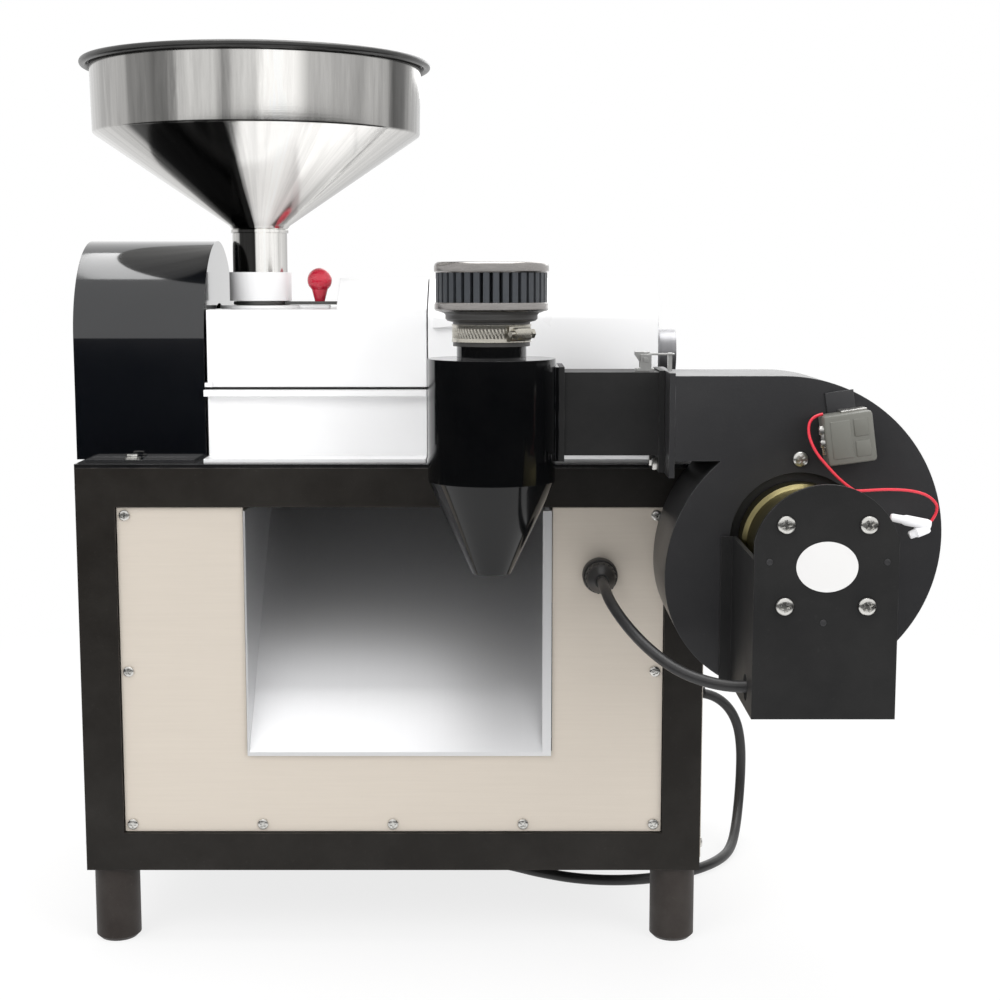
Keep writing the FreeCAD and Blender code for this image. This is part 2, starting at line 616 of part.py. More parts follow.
def dished(wheel, belt_radius):
    # the faces are turned away between hub and rim, which leaves a web
    half = "(belt_pitch / 2 + belt_top / 2 + pulley_side)"
    outer = "(%s - belt_gap - pulley_side)" % belt_radius
    for sign in ("-", ""):
        turned(wheel, "Groove", "y", "H_Axis",
               [("%sweb_thick / 2" % sign, "hub_radius"), ("%s%s" % (sign, half), "hub_radius"),
                ("%s%s" % (sign, half), outer), ("%sweb_thick / 2" % sign, outer)])


def tangent_path(x, centre_a, radius_a, centre_b, radius_b):
    # the closed run of a belt round two pulleys whose axes lie along x
    gap_y = centre_b[0] - centre_a[0]
    gap_z = centre_b[1] - centre_a[1]
    span = math.hypot(gap_y, gap_z)
    heading = math.atan2(gap_z, gap_y)
    lean = math.acos((radius_a - radius_b) / span)

    def spot(centre, radius, angle):
        return FreeCAD.Vector(x, centre[0] + radius * math.cos(angle), centre[1] + radius * math.sin(angle))

    a_one = spot(centre_a, radius_a, heading + lean)
    a_two = spot(centre_a, radius_a, heading - lean)
    b_one = spot(centre_b, radius_b, heading + lean)
    b_two = spot(centre_b, radius_b, heading - lean)
    a_far = spot(centre_a, radius_a, heading + math.pi)
    b_far = spot(centre_b, radius_b, heading)
    edges = [Part.LineSegment(a_one, b_one).toShape(), Part.Arc(b_one, b_far, b_two).toShape(),
             Part.LineSegment(b_two, a_two).toShape(), Part.Arc(a_two, a_far, a_one).toShape()]
    return Part.Wire(edges), a_one, b_one


def v_belts():
    # each belt is one V section carried round the belt's path
    solids = []
    head = (number("axis_y"), number("axis_z"))
    drive = (number("motor_y"), number("motor_z"))
    height = number("belt_height")
    for side in (-1, 1):
        middle = number("pulley_x + %d * belt_pitch / 2" % side)
        path, start, end = tangent_path(middle, head, number("head_belt_radius"), drive,
                                        number("drive_belt_radius"))
        along = end.sub(start).normalize()
        outwards = FreeCAD.Vector(0, -along.z, along.y)
        if outwards.dot(FreeCAD.Vector(0, start.y - head[0], start.z - head[1])) < 0:
            outwards = outwards.multiply(-1)
        across = FreeCAD.Vector(number("belt_top") / 2, 0, 0)
        narrow = FreeCAD.Vector(number("belt_bottom") / 2, 0, 0)
        outer = start.add(outwards.multiply(height))
        corners = [start.sub(narrow), start.add(narrow), outer.add(across), outer.sub(across)]
        section = Part.makePolygon(corners + corners[:1])
        solids.append(path.makePipeShell([section], True, False))
    belts = doc.addObject("Part::Feature", "drive_belts")
    belts.Shape = Part.Compound(solids)
    place(belts)
    finished(belts, "drive_belts")


def main_rotor():
    shaft = body("hulling_shaft", y="axis_y", z="axis_z")
    turned(shaft, "Revolution", "y", "H_Axis",
           [("shaft_left", "0"), ("shaft_right", "0"), ("shaft_right", "shaft_radius - shaft_edge"),
            ("shaft_right - shaft_edge", "shaft_radius"), ("shaft_left + shaft_edge", "shaft_radius"),
            ("shaft_left", "shaft_radius - shaft_edge")])
    head = pulley("head_pulley", "axis_y", "axis_z", "head_belt_radius", "shaft_radius")
    dished(head, "head_belt_radius")
    feed_screw()
    roller = body("hulling_roller", x="roller_left", y="axis_y", z="axis_z")
    turned(roller, "Revolution", "y", "H_Axis",
           [("0", "shaft_radius"), ("roller_right - roller_left", "shaft_radius"),
            ("roller_right - roller_left", "roller_radius"), ("0", "roller_radius")])
    # grooves milled along the roller leave the hulling ribs
    groove = pocket(roller, "x", "0", "roller_right - roller_left",
                    rectangle("-roller_groove_width / 2", "roller_radius - roller_groove",
                              "roller_groove_width / 2", "roller_radius + roller_groove"))
    ring_pattern(roller, groove, "X_Axis", "roller_grooves")


def feed_screw():
    # a core on the shaft with one flat flight wound round it
    left, length = number("screw_left"), number("screw_right - screw_left")
    core, tip = number("screw_core"), number("flight_radius")
    thick, pitch = number("flight_thick"), number("flight_pitch")
    bite = number("overrun") / 2
    helix = Part.makeHelix(pitch, length - thick, core)
    section = Part.makePolygon([FreeCAD.Vector(core - bite, 0, 0), FreeCAD.Vector(tip, 0, 0),
                                FreeCAD.Vector(tip, 0, thick), FreeCAD.Vector(core - bite, 0, thick),
                                FreeCAD.Vector(core - bite, 0, 0)])
    sweep = Part.BRepOffsetAPI.MakePipeShell(helix)
    sweep.setAuxiliarySpine(Part.makeHelix(pitch, length - thick, core * 2), True, 0)
    sweep.add(section)
    sweep.build()
    sweep.makeSolid()
    flight = sweep.shape()
    tube = Part.makeCylinder(core, length).cut(Part.makeCylinder(number("shaft_radius"), length))
    whole = tube.fuse(flight.cut(Part.makeCylinder(core - bite / 2, length)))
    whole.rotate(FreeCAD.Vector(0, 0, 0), FreeCAD.Vector(0, 1, 0), 90)
    auger = doc.addObject("Part::Feature", "feed_screw")
    auger.Shape = whole
    place(auger, "screw_left", "axis_y", "axis_z")
    finished(auger, "feed_screw")


def main_motor():
    # a finned stator between two end bells, with a cowl over the cooling fan at the right
    motor = body("main_motor", x="motor_left", y="motor_y", z="motor_z")
    length = "(motor_right - motor_left)"
    turned(motor, "Revolution", "y", "H_Axis",
           [("-bell_length", "0"), (length + " + cowl_length", "0"),
            (length + " + cowl_length", "motor_radius - bell_length"),
            (length + " + cowl_length - bell_length / 2", "motor_radius - fin_height / 2"),
            (length + " + fin_width", "motor_radius - fin_height / 2"),
            (length + " + fin_width", "motor_radius - 2 * fin_height"),
            (length, "motor_radius - 2 * fin_height"), (length, "motor_radius"),
            ("0", "motor_radius"), ("0", "bell_radius"), ("-bell_length / 2", "bell_radius"),
            ("-bell_length", "bell_radius - bell_length")])
    groove = pocket(motor, "x", "fin_width", length + " - 2 * fin_width",
                    rectangle("-fin_width", "motor_radius - fin_height", "fin_width",
                              "motor_radius + fin_height"))
    ring_pattern(motor, groove, "X_Axis", "motor_fins")
    base = "(motor_z - foot_height - tube_side - motor_plate_thick)"
    toe = "motor_foot_thick - " + base
    inwards = "(motor_foot_reach - 2 * bolt_head_radius - 2 * slip_gap)"
    for left in ("motor_foot_edge", length + " - motor_foot_edge - motor_foot_length"):
        pad(motor, "x", left, "motor_foot_length",
            [("-motor_foot_reach", "-" + base), ("motor_foot_reach", "-" + base), ("motor_foot_reach", toe),
             (inwards, toe), ("motor_radius / 2", "-motor_radius / 2"),
             ("-motor_radius / 2", "-motor_radius / 2"),
             ("-" + inwards, toe), ("-motor_foot_reach", toe)])
    # the terminal box stands on top, under a lid with a small overhang
    middle = length + " / 2"
    level = "(motor_radius + box_height)"
    pad(motor, "z", "motor_radius - fin_height", "box_height + fin_height",
        rectangle("%s - box_length / 2" % middle, "-box_width / 2", "%s + box_length / 2" % middle,
                  "box_width / 2"))
    pad(motor, "z", level, "box_lid",
        rectangle("%s - box_length / 2 - box_lid" % middle, "-box_width / 2 - box_lid",
                  "%s + box_length / 2 + box_lid" % middle, "box_width / 2 + box_lid"))
    shaft = body("motor_shaft", y="motor_y", z="motor_z")
    turned(shaft, "Revolution", "y", "H_Axis",
           rectangle("pulley_x - belt_pitch - shaft_edge", "0", "motor_left - bell_length - slip_gap",
                     "motor_shaft_radius"))
    pulley("motor_pulley", "motor_y", "motor_z", "drive_belt_radius", "motor_shaft_radius")
    plate = body("motor_plate", y="motor_y", z="foot_height + tube_side")
    pad(plate, "z", "0", "motor_plate_thick",
        rectangle("motor_left - motor_plate_edge", "-motor_foot_reach - motor_plate_edge",
                  "motor_right + motor_plate_edge", "motor_foot_reach + motor_plate_edge"))
    level = "foot_height + tube_side + motor_plate_thick + motor_foot_thick"
    for left in ("motor_left + motor_foot_edge", "motor_right - motor_foot_edge - motor_foot_length"):
        for sign in ("-", "+"):
            spot = (left + " + motor_foot_length / 2",
                    "motor_y %s (motor_foot_reach - bolt_head_radius - slip_gap)" % sign,
                    level)
            fasteners.append(rod("motor_bolt", "z", spot, "bolt_head_radius", "bolt_head_height"))


def flange_bearing(name, face, towards):
    # a round flange against an end plate and a longer nose round the shaft
    unit = plain_body(name, face, "axis_y", "axis_z")
    sign = "-" if towards < 0 else ""
    turned(unit, "Revolution", "y", "H_Axis",
           [("0", "shaft_radius + run_gap"), ("%sbearing_length" % sign, "shaft_radius + run_gap"),
            ("%sbearing_length" % sign, "bearing_nose"), ("%sbearing_flange" % sign, "bearing_nose"),
            ("%sbearing_flange" % sign, "bearing_radius"), ("0", "bearing_radius")])
    return unit


def bearings():
    left = flange_bearing("bearing_at_pulley", "end_plate_left", -1)
    right = flange_bearing("bearing_at_outlet", "box_right", 1)
    grouped("shaft_bearings", [left, right])


def lower_casing():
    case = body("lower_casing")
    deck_top = "stand_top + deck_thick"
    pad(case, "x", "head_left", "cover_right - head_left",
        rectangle("head_front", deck_top, "head_back", "seam_level"))
    pocket(case, "x", "head_left + head_wall", "cover_right - head_left - 2 * head_wall",
           rectangle("head_front + head_wall", deck_top + " + head_wall", "head_back - head_wall",
                     "seam_level + overrun"))
    # the end walls are cut round the left bearing and round the screen
    pocket(case, "x", "head_left - overrun", "head_wall + overrun",
           rounds=[("axis_y", "axis_z", "bearing_radius + slip_gap")])
    pocket(case, "x", "cover_right - head_wall", "head_wall + overrun",
           rounds=[("axis_y", "axis_z", "chamber_radius + chamber_wall / 2 + slip_gap")])
    # a lip along the seam, with a small ear at each end, and a foot along the deck
    pad(case, "z", "seam_level - lip_thick", "lip_thick",
        rectangle("head_left - ear_reach", "head_front - lip_reach", "cover_right", "head_front + head_wall"))
    pad(case, "z", "seam_level - lip_thick", "lip_thick",
        rectangle("head_left - ear_reach", "head_back - head_wall", "cover_right", "head_back + lip_reach"))
    pad(case, "z", deck_top, "base_lip_thick",
        rectangle("head_left", "head_front - base_lip_front", "cover_right", "head_front + head_wall"))
    pad(case, "z", deck_top, "base_lip_thick",
        rectangle("head_left", "head_back - head_wall", "cover_right", "head_back + base_lip_back"))
    # the tall end plate carries the left bearing, the trough and the liner
    pad(case, "x", "end_plate_left", "end_plate_thick",
        [("head_front + head_wall", deck_top + " + head_wall / 2"),
         ("head_back - head_wall", deck_top + " + head_wall / 2"),
         ("head_back - head_wall", "seam_level"), ("axis_y + bearing_radius",
                                                   "head_top - head_wall - 4 * slip_gap"),
         ("axis_y - bearing_radius", "head_top - head_wall - 4 * slip_gap"),
         ("head_front + head_wall", "seam_level")])
    pocket(case, "x", "end_plate_left - overrun", "end_plate_thick + 2 * overrun",
           rounds=[("axis_y", "axis_z", "shaft_hole")])
    for middle in ("hinge_left_x", "hinge_right_x"):
        for sign in ("-", "+"):
            knuckle(case, "%s %s (knuckle_length + knuckle_gap)" % (middle, sign), "seam_level - lip_thick")
    return case


def knuckle(owner, middle, foot_level):
    # a hinge ear: a block up to the pin's level, rounded over it, and bored for the pin
    pad(owner, "x", "%s - knuckle_length / 2" % middle, "knuckle_length",
        [("head_back + lip_reach / 2", foot_level), ("hinge_y + knuckle_radius", foot_level),
         ("hinge_y + knuckle_radius", "hinge_z", "knuckle_radius", 1),
         ("hinge_y", "hinge_z + knuckle_radius", "knuckle_radius", 1),
         ("hinge_y - knuckle_radius", "hinge_z"), ("hinge_y - knuckle_radius", "seam_level"),
         ("head_back + lip_reach / 2", "seam_level")])
    pocket(owner, "x", "%s - knuckle_length / 2" % middle, "knuckle_length",
           rounds=[("hinge_y", "hinge_z", "pin_radius + run_gap")])


def cover_gasket():
    # a strip of sealing foam along each long wall of the casing
    strips = [block("strip_%s" % side, ("head_left + ear_reach", front, "seam_level"),
                    ("cover_right - head_left - 2 * ear_reach", "head_wall - slip_gap", "gasket_thick"))
              for side, front in (("front", "head_front + slip_gap"), ("rear", "head_back - head_wall"))]
    grouped("cover_gasket", strips)


def upper_cover():
    low = "(seam_level + gasket_thick + slip_gap)"
    cover = body("upper_cover")
    pad(cover, "x", "head_left", "cover_right - head_left",
        rectangle("head_front", low, "head_back", "head_top"))
    pad(cover, "x", "hump_left", "cover_right - hump_left",
        [("head_front + cover_round", "head_top - cover_round"),
         ("head_back - cover_round", "head_top - cover_round"),
         ("head_back - cover_round", "head_top"), ("head_back - hump_inset", "hump_top"),
         ("head_front + hump_inset", "hump_top"), ("head_front + cover_round", "head_top")])
    rounded(cover, "hump_round", lambda edge: runs_along(edge, "x")
            and edge.CenterOfMass.z > number("hump_top - cover_round"))
    pocket(cover, "x", "head_left - overrun", "cover_right - head_left + 2 * overrun",
           rectangle("head_front + head_wall", low, "head_back - head_wall", "head_top - head_wall"))
    pocket(cover, "x", "hump_left + head_wall", "cover_right - hump_left",
           [("head_front + hump_inset / 2 + head_wall", "head_top - 2 * head_wall"),
            ("head_back - hump_inset / 2 - head_wall", "head_top - 2 * head_wall"),
            ("head_back - hump_inset - head_wall / 2", "hump_top - head_wall"),
            ("head_front + hump_inset + head_wall / 2", "hump_top - head_wall")])
    pocket(cover, "z", "head_top - 2 * head_wall", "3 * head_wall",
           rounds=[("hopper_x", "axis_y", "spout_bore")])
    # ears at the left end of the seam
    pad(cover, "z", low, "lip_thick - gasket_thick",
        rectangle("head_left - ear_reach", "head_front - lip_reach / 4", "head_left + head_wall",
                  "head_front + head_wall"))
    for middle in ("hinge_left_x", "hinge_right_x"):
        pad(cover, "x", "%s - knuckle_length / 2" % middle, "knuckle_length",
            [("head_back - head_wall / 2", low), ("hinge_y", low), ("hinge_y + knuckle_radius", "hinge_z"),
             ("hinge_y", "hinge_z + knuckle_radius"), ("head_back - head_wall / 2",
                                                       "hinge_z + 2 * knuckle_radius")])
        pocket(cover, "x", "%s - knuckle_length / 2" % middle, "knuckle_length",
               rounds=[("hinge_y", "hinge_z", "pin_radius + run_gap")])
    reach = "(3 * knuckle_length / 2 + knuckle_gap)"
    for middle in ("hinge_left_x", "hinge_right_x"):
        spot = ("%s - %s" % (middle, reach), "hinge_y", "hinge_z")
        fasteners.append(rod("hinge_pin", "x", spot, "pin_radius", "2 * " + reach))


def hopper():
    # a spun funnel: bead, short cylinder, cone and neck, all one wall thick
    funnel = body("hopper", x="hopper_x", y="hopper_y")
    slope = "hopper_wall * (crease_level - neck_level) / (crease_radius - neck_radius) / 2"
    turned(funnel, "Revolution", "y", "V_Axis",
           [("neck_radius - hopper_wall", "neck_bottom"), ("neck_radius", "neck_bottom"),
            ("neck_radius", "neck_level"),
            ("crease_radius", "crease_level"), ("rim_radius", "rim_level - rim_bead"),
            ("rim_radius + rim_bead", "rim_level - rim_bead"), ("rim_radius + rim_bead", "rim_level"),
            ("rim_radius - hopper_wall", "rim_level"), ("crease_radius - hopper_wall",
                                                        "crease_level + " + slope),
            ("neck_radius - hopper_wall", "neck_level + " + slope)])


def spout():
    # the white collar that takes the hopper's neck; a slot near its foot lets the gate swing through
    collar = body("feed_spout", x="hopper_x", y="axis_y")
    turned(collar, "Revolution", "y", "V_Axis",
           [("spout_bore", "head_top"), ("spout_foot_radius", "head_top"),
            ("spout_foot_radius", "gate_level - gate_slot_gap"),
            ("spout_bore", "gate_level - gate_slot_gap")])
    turned(collar, "Revolution", "y", "V_Axis",
           [("spout_bore", "gate_level - gate_slot_gap"), ("spout_radius", "gate_level - gate_slot_gap"),
            ("spout_radius", "spout_top"), ("spout_bore", "spout_top")])
    # the slot leaves the wall at the back
    pocket(collar, "z", "gate_level - gate_slot_gap", "gate_thick + 2 * gate_slot_gap",
           [("-spout_radius - overrun", "-spout_radius - overrun"),
            ("spout_radius + overrun", "-spout_radius - overrun"),
            ("spout_radius + overrun", "spout_bore * slot_back_share"),
            ("-spout_radius - overrun", "spout_bore * slot_back_share")])
    # a boss on the foot carries the gate's pivot
    pad(collar, "z", "head_top", "gate_level - gate_slot_gap - head_top",
        rectangle("spout_foot_radius / 2 + spout_radius / 2", "-gate_boss",
                  "gate_pivot_x - hopper_x + gate_boss", "gate_boss"))


def feed_gate():
    # a flat plate that swings about the knob's stem: disc in the collar, short tail at the right
    plate = body("gate_plate", x="hopper_x", y="axis_y", z="gate_level")
    reach = "(gate_pivot_x - hopper_x)"
    disc = "(spout_bore - slip_gap)"
    pad(plate, "z", "0", "gate_thick", rounds=[("0", "0", disc)])
    pad(plate, "z", "0", "gate_thick", rectangle("0", "-gate_arm", reach + " + gate_tail", "gate_arm"))
    knob = body("gate_knob", x="gate_pivot_x", y="axis_y")
    low = "gate_level + gate_thick"
    turned(knob, "Revolution", "y", "V_Axis",
           [("0", low), ("knob_neck_low", low), ("knob_neck_high",
                                                 "knob_level - knob_radius * knob_low_share"),
            ("knob_radius * knob_side_share", "knob_level - knob_radius / 2", "knob_radius", 1),
            ("knob_radius", "knob_level", "knob_radius", 1), ("0", "knob_level + knob_radius")])


def discharge_box():
    # the fixed right-hand half of the head: same section as the cover, closed at both ends
    box = body("discharge_box")
    deck_top = "stand_top + deck_thick"
    shell = [("head_front", deck_top), ("head_back", deck_top), ("head_back", "head_top"),
             ("head_back - hump_inset", "hump_top"), ("head_front + hump_inset", "hump_top"),
             ("head_front", "head_top")]
    pad(box, "x", "box_left", "box_right - box_left", shell)
    rounded(box, "hump_round", lambda edge: runs_along(edge, "x")
            and edge.CenterOfMass.z > number("head_top - cover_round"))
    hollow = [("head_front + box_wall", deck_top), ("head_back - box_wall", deck_top),
              ("head_back - box_wall", "head_top - box_wall"),
              ("head_back - hump_inset - box_wall / 2", "hump_top - box_wall"),
              ("head_front + hump_inset + box_wall / 2", "hump_top - box_wall"),
              ("head_front + box_wall", "head_top - box_wall")]
    pocket(box, "x", "box_left + box_wall", "box_right - box_left - 2 * box_wall", hollow)
    pocket(box, "x", "box_left - overrun", "box_wall + 2 * overrun",
           rounds=[("axis_y", "axis_z", "chamber_radius")])
    pocket(box, "x", "box_right - box_wall - overrun", "box_wall + 2 * overrun",
           rounds=[("axis_y", "axis_z", "shaft_hole")])
    pocket(box, "x", "box_right - box_wall - overrun", "box_wall + 2 * overrun",
           rectangle("suction_front", "suction_low", "suction_back", "suction_high"))
    pocket(box, "y", "head_front - overrun", "box_wall + 2 * overrun",
           rounds=[("flap_x", "flap_pivot_level", "flap_pin + run_gap")])
    for low, high in (("head_front - base_lip_front", "head_front + box_wall"),
                      ("head_back - box_wall", "head_back + base_lip_back")):
        pad(box, "z", deck_top, "base_lip_thick", rectangle("box_left", low, "box_right", high))


def half_tube(label, left, length, inner, wall, high):
    # a trough below the shaft, or a liner above it, ending just clear of the shaft's level
    tube = body(label, x=left, y="axis_y", z="axis_z")
    sign, turn = ("", -1) if high else ("-", 1)
    outer = "(%s + %s)" % (inner, wall)
    level = "%sslip_gap" % sign
    pad(tube, "x", "0", length,
        [("-" + outer, level, outer, turn), ("0", sign + outer, outer, turn), (outer, level),
         (inner, level, inner, -turn), ("0", sign + inner, inner, -turn), ("-" + inner, level)])
    return tube


def chamber():
    trough_left = "end_plate_left + end_plate_thick"
    half_tube("feed_trough", trough_left, "screw_right - (%s)" % trough_left, "feed_radius", "trough_wall",
              False)
    screen = half_tube("hulling_screen", "roller_left", "box_left - roller_left", "chamber_radius",
                       "chamber_wall / 2", False)
    slot = pocket(screen, "z", "-chamber_radius - chamber_wall", "chamber_wall * 2",
                  rectangle("slot_width", "-slot_length / 2", "2 * slot_width", "slot_length / 2"))
    row_pattern(screen, slot, "X_Axis", "slot_count", "slot_width * 2 * (slot_count - 1)")
    liner = half_tube("upper_liner", trough_left, "screw_right - (%s)" % trough_left, "feed_radius",
                      "trough_wall", True)
    pocket(liner, "z", "0", "feed_radius + 2 * trough_wall",
           rounds=[("hopper_x - end_plate_left - end_plate_thick", "0", "spout_bore * liner_hole_share")])
    # the blade's bar hangs from the cover on two adjusting stems
    blade = body("hulling_blade", x="roller_left", y="axis_y", z="axis_z")
    pad(blade, "x", "0", "roller_right - roller_left",
        rectangle("-blade_width / 2", "roller_radius + blade_gap", "blade_width / 2",
                  "roller_radius + blade_gap + blade_stem"))
    rise = "hump_top - head_wall - axis_z - roller_radius - blade_gap - blade_stem - slip_gap"
    for share in ("1", "3"):
        pad(blade, "z", "roller_radius + blade_gap + blade_stem", rise,
            rounds=[("(roller_right - roller_left) * %s / 4" % share, "0", "blade_stem")])


def outlet_flap():
    # a short gate over the roller's outlet, turned from outside by a lever
    flap = body("outlet_flap")
    pad(flap, "x", "flap_x - flap_thick / 2", "flap_thick",
        rectangle("axis_y - flap_width / 2", "flap_low", "axis_y + flap_width / 2", "flap_pivot_level"))
    pad(flap, "y", "head_front - lever_thick / 2 - slip_gap",
        "axis_y + flap_width / 2 - head_front + lever_thick / 2 + slip_gap",
        rounds=[("flap_x", "flap_pivot_level", "flap_pin")])
    pad(flap, "y", "head_front - lever_thick - slip_gap", "lever_thick",
        [("flap_x - lever_height", "flap_pivot_level - lever_height / 2"),
         ("flap_x + lever_length", "flap_pivot_level - lever_height / 4"),
         ("flap_x + lever_length", "flap_pivot_level + lever_height / 4"),
         ("flap_x - lever_height", "flap_pivot_level + lever_height / 2")])


def scroll_outline(inset, outlet):
    # flat outlet along the top, a wide half round at the right and tighter arcs under and at the left
    big = "(scroll_radius - %s)" % inset
    low = "(scroll_low_radius - %s)" % inset
    left = "(scroll_left_radius - %s)" % inset
    left_x = "(scroll_x - scroll_low_radius + scroll_left_radius)"
    left_z = "(scroll_z - scroll_radius + scroll_low_radius)"
    tongue = "(outlet_low + %s)" % inset
    return [(outlet, "scroll_z + " + big), (outlet, tongue),
            ("%s - sqrt(%s ^ 2 - (%s - %s) ^ 2)" % (left_x, left, tongue, left_z), tongue, left, 1),
            ("%s - %s" % (left_x, left), left_z, low, 1), ("scroll_x", "%s - %s" % (left_z, low), big, 1),
            ("scroll_x + " + big, "scroll_z", big, 1), ("scroll_x", "scroll_z + " + big)]


def fan_scroll():
    shell = body("fan_scroll")
    pad(shell, "y", "scroll_front + front_plate", "scroll_back - scroll_front - front_plate",
        scroll_outline("0", "outlet_x"))
    pocket(shell, "y", "scroll_front", "scroll_back - scroll_front - front_plate",
           scroll_outline("scroll_wall", "outlet_x - overrun"))
    pocket(shell, "y", "scroll_back - 2 * front_plate", "4 * front_plate",
           rounds=[("fan_x", "fan_z", "fan_inlet")])
    pad(shell, "x", "outlet_x - flange_thick", "flange_thick",
        rectangle("scroll_front", "outlet_low - flange_reach", "scroll_back", "duct_top + scroll_wall"))
    pocket(shell, "x", "outlet_x - 2 * flange_thick", "4 * flange_thick",
           rectangle("duct_front + duct_wall", "outlet_low + duct_wall", "duct_back - duct_wall",
                     "duct_top - duct_wall"))
    face = body("scroll_front_plate")
    pad(face, "y", "scroll_front", "front_plate", scroll_outline("0", "outlet_x"))
    pocket(face, "y", "scroll_front - overrun", "front_plate + 2 * overrun",
           rounds=[("fan_x", "fan_z", "motor_opening")])


def impeller():
    # backward-curved blades on a plate, with a hub on the motor's shaft
    wheel = body("fan_impeller", x="fan_x", z="fan_z")
    length = "(wheel_back - wheel_front)"
    pad(wheel, "y", "wheel_front", "wheel_plate", rounds=[("0", "0", "wheel_radius")])
    pad(wheel, "y", "wheel_front", length + " / 2", rounds=[("0", "0", "wheel_hub")])
    pad(wheel, "y", "wheel_front - wheel_plate", length, rounds=[("0", "0", "fan_shaft")])
    blade = pad(wheel, "y", "wheel_front + wheel_plate / 2", length,
                [("blade_inner", "0", "wheel_radius", -1),
                 ("wheel_radius * blade_tip_share", "wheel_radius * blade_lean_share"),
                 ("wheel_radius * blade_tip_share + blade_thick / 2",
                  "wheel_radius * blade_lean_share - blade_thick", "wheel_radius", 1),
                 ("blade_inner + blade_thick / 2", "-blade_thick")])
    ring_pattern(wheel, blade, "Y_Axis", "blade_count")


def fan_motor():
    motor = body("fan_motor", x="fan_x", z="fan_z")
    back = "(wheel_front - wheel_plate - 2 * slip_gap)"
    front = "(bracket_front + bracket_thick)"
    neck = "(fan_motor_radius - fan_motor_rim)"
    turned(motor, "Revolution", "x", "H_Axis",
           [(front, "0"), (front, neck), (front + " + 2 * fan_motor_rim", "fan_motor_radius"),
            (front + " + 6 * fan_motor_rim", "fan_motor_radius"), (front + " + 7 * fan_motor_rim", neck),
            (back + " - 7 * fan_motor_rim", neck), (back + " - 6 * fan_motor_rim", "fan_motor_radius"),
            (back, "fan_motor_radius"), (back, "0")])
    # the cable enters through a boss under the case
    pad(motor, "z", "-boss_reach", "boss_reach / 2", rounds=[("0", "cable_y", "boss_radius")])


def motor_bracket():
    # a bent plate with an arched top and two side cheeks that foot on the fan's front plate
    bracket = body("motor_bracket", x="fan_x")
    pad(bracket, "y", "bracket_front", "bracket_thick",
        [("-bracket_half", "bracket_low"), ("bracket_half", "bracket_low"),
         ("bracket_half", "bracket_shoulder", "bracket_arch", 1),
         ("0", "bracket_shoulder + bracket_rise", "bracket_arch", 1),
         ("-bracket_half", "bracket_shoulder")])
    length = "(scroll_front - bracket_front - bracket_thick / 2)"
    for left in ("-bracket_half", "bracket_half - bracket_thick"):
        pad(bracket, "y", "bracket_front + bracket_thick / 2", length,
            rectangle(left, "bracket_low", left + " + bracket_thick", "bracket_side_top"))
    for left in ("-bracket_half - bracket_foot", "bracket_half - bracket_thick / 2"):
        pad(bracket, "y", "scroll_front - bracket_thick", "bracket_thick",
            rectangle(left, "bracket_low", left + " + bracket_foot + bracket_thick / 2", "bracket_side_top"))
    pocket(bracket, "x", "-bracket_half - overrun", "bracket_thick + 2 * overrun",
           rounds=[("cable_y", "cable_z", "cable_hole")])
    pocket(bracket, "y", "bracket_front - overrun", "bracket_thick + 2 * overrun",
           rounds=[("%sbracket_screw" % across, "fan_z %s bracket_screw" % up, "screw_shank_radius + run_gap")
                   for across in ("-", "") for up in "-+"])
    for across in "-+":
        for up in "-+":
            spot = ("fan_x %s bracket_screw" % across, "bracket_front", "fan_z %s bracket_screw" % up)
            fasteners.append(screw("bracket_screw", "y", spot, -1, "bracket_thick", "bracket_head_radius",
                                   "bracket_head_height"))


def capacitor():
    # a moulded box, turned a little, on a bent metal tab
    box = plain_body("capacitor_box", x="cap_x", z="cap_z")
    pad(box, "y", "scroll_front - tab_thick - cap_depth", "cap_depth",
        rectangle("-cap_width / 2", "-cap_height / 2", "cap_width / 2", "cap_height / 2"))
    rounded(box, "cap_edge", lambda edge: runs_along(edge, "y"))
    tab = plain_body("capacitor_tab", x="cap_x", z="cap_z")
    pad(tab, "y", "scroll_front - tab_thick", "tab_thick",
        rectangle("-tab_width / 2", "-cap_height / 2", "tab_width / 2", "cap_height / 2 + tab_height"))
    for item in (box, tab):
        item.Placement.Rotation = FreeCAD.Rotation(FreeCAD.Vector(0, 1, 0), -number("cap_turn"))
    grouped("capacitor", [box, tab])


def outlet_duct():
    # a folded square duct with a flange at each end
    duct = body("outlet_duct")
    outer = rectangle("duct_front", "outlet_low", "duct_back", "duct_top")
    inner = rectangle("duct_front + duct_wall", "outlet_low + duct_wall", "duct_back - duct_wall",
                      "duct_top - duct_wall")
    right = "outlet_x - flange_thick"
    pad(duct, "x", "duct_left", "%s - duct_left" % right, outer)
    pad(duct, "x", "duct_left", "duct_flange_left",
        rectangle("duct_front - duct_flange_left", "outlet_low - duct_flange_left",
                  "duct_back + duct_flange_left",
                  "duct_top + duct_flange_left"))
    pad(duct, "x", "%s - flange_thick" % right, "flange_thick",
        rectangle("duct_front - duct_flange_left", "outlet_low - flange_reach", "duct_back",
                  "duct_top + scroll_wall"))
    pocket(duct, "x", "duct_left - overrun", "outlet_x - duct_left + 2 * overrun", inner)
    level = "outlet_low - bolt_drop"
    for front in ("duct_front + 2 * bolt_head_radius", "duct_back - 2 * bolt_head_radius"):
        left = "outlet_x - 2 * flange_thick - bolt_head_height"
        for name, start in (("flange_bolt_head", left), ("flange_bolt_nut", "outlet_x")):
            fasteners.append(rod(name, "x", (start, front, level), "bolt_head_radius", "bolt_head_height"))


